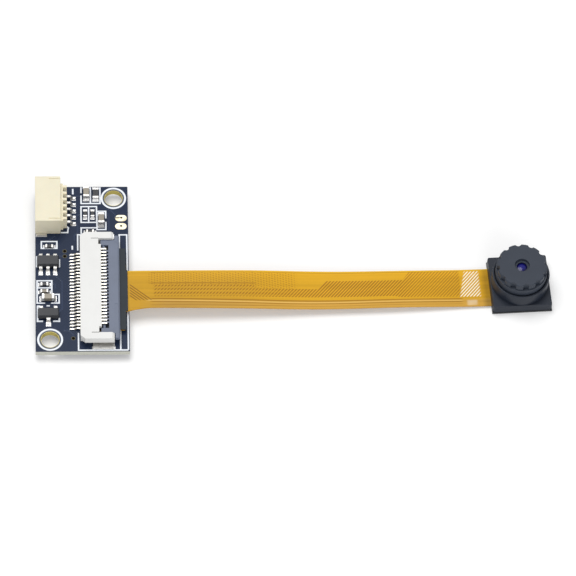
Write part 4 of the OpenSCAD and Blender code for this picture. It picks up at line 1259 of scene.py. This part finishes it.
def coated_glass(coating):
    """Dark glass under a blue coating, with painted shade that deepens it towards the rim, and a painted
    glow.
    """
    material, tree, shader = new_material("coated_lens")
    parts = tree.parts(tree.mapped(tree.place(), Location=(-HEAD_X, -HEAD_Y, 0.0)))
    flat = tree.node("ShaderNodeCombineXYZ", {"X": parts["X"], "Y": parts["Y"]}).outputs[0]
    radius = tree.node("ShaderNodeVectorMath", {0: flat}, operation="LENGTH").outputs["Value"]
    # painted shade: the coating darkens from the middle out to the rim
    rim = tree.mul_add(tree.noise(tree.place(), 1500.0), 0.15, tree.step(radius, RIM_SHADE_IN, RIM_SHADE_OUT))
    color = tree.blend(rim, [min(1.0, c * 1.4) for c in coating], [c * 0.12 for c in coating])
    # painted glow: the coating emits its own colour, though the lens is no lamp
    tree.fill(shader, {"Base Color": color, "Emission Color": color, "Emission Strength": 0.25})
    tree.fill(shader, {"Roughness": 0.12, "Specular IOR Level": 0.25})
    tree.fill(shader, {"Coat Weight": 0.1, "Coat Roughness": 0.05})
    return material


def clear_glass(name, color, index):
    """Glass with faint smears."""
    material, tree, shader = new_material(name)
    smear = tree.noise(tree.place(), 500.0, 3.0)
    tinted = tree.shaded(color, tree.mul_add(smear, 0.06, 0.96))
    tree.fill(shader, {"Base Color": tinted, "Transmission Weight": 1.0, "IOR": index})
    tree.fill(shader, {"Roughness": tree.mul_add(smear, 0.04, 0.01)})
    return material


class CAMERAMODULE_OT_optics(bpy.types.Operator):
    """Finish the lenses, the filter and the sensor"""

    bl_idname = "camera_module.optics"
    bl_label = "Optics"

    def execute(self, context):
        paint(coated_glass(context.scene.camera_module_head.coating), "front_lens")
        lens_glass = clear_glass("lens_glass", (0.86, 0.90, 0.92, 1.0), 1.50)
        paint(lens_glass, "middle_lens", "rear_lens", "sensor_glass")
        paint(clear_glass("filter_glass", (0.35, 0.70, 0.74, 1.0), 1.52), "infrared_filter")
        paint(moulding("silicon", (0.045, 0.055, 0.075)), "image_sensor")
        return {"FINISHED"}


# ---- panel and run ----

OPERATORS = (
    CAMERAMODULE_OT_stage,
    CAMERAMODULE_OT_board,
    CAMERAMODULE_OT_solder,
    CAMERAMODULE_OT_wire_socket,
    CAMERAMODULE_OT_ribbon_connector,
    CAMERAMODULE_OT_chips,
    CAMERAMODULE_OT_underside,
    CAMERAMODULE_OT_ribbon,
    CAMERAMODULE_OT_head,
    CAMERAMODULE_OT_optics,
)
GROUPS = {
    "camera_module_board": CAMERAMODULE_PG_board,
    "camera_module_parts": CAMERAMODULE_PG_parts,
    "camera_module_ribbon": CAMERAMODULE_PG_ribbon,
    "camera_module_head": CAMERAMODULE_PG_head,
    "camera_module_stage": CAMERAMODULE_PG_stage,
}


class CAMERAMODULE_PT_panel(bpy.types.Panel):
    """Lists the operators and the settings in the sidebar"""

    bl_idname = "CAMERAMODULE_PT_panel"
    bl_label = "Camera Module"
    bl_space_type = "VIEW_3D"
    bl_region_type = "UI"
    bl_category = "Camera Module"

    def draw(self, context):
        for operator in OPERATORS:
            self.layout.operator(operator.bl_idname)
        for name, group in GROUPS.items():
            box = self.layout.box()
            for key in group.__annotations__:
                box.prop(getattr(context.scene, name), key)


CLASSES = (*GROUPS.values(), *OPERATORS, CAMERAMODULE_PT_panel)


def register():
    for shown in CLASSES:
        bpy.utils.register_class(shown)
    for name, group in GROUPS.items():
        setattr(bpy.types.Scene, name, PointerProperty(type=group))


def unregister():
    for name in GROUPS:
        delattr(bpy.types.Scene, name)
    for shown in reversed(CLASSES):
        bpy.utils.unregister_class(shown)


def main():
    register()
    bpy.ops.camera_module.stage()
    bpy.ops.camera_module.board()
    bpy.ops.camera_module.solder()
    bpy.ops.camera_module.wire_socket()
    bpy.ops.camera_module.ribbon_connector()
    bpy.ops.camera_module.chips()
    bpy.ops.camera_module.underside()
    bpy.ops.camera_module.ribbon()
    bpy.ops.camera_module.head()
    bpy.ops.camera_module.optics()


if __name__ == "__main__":
    main()
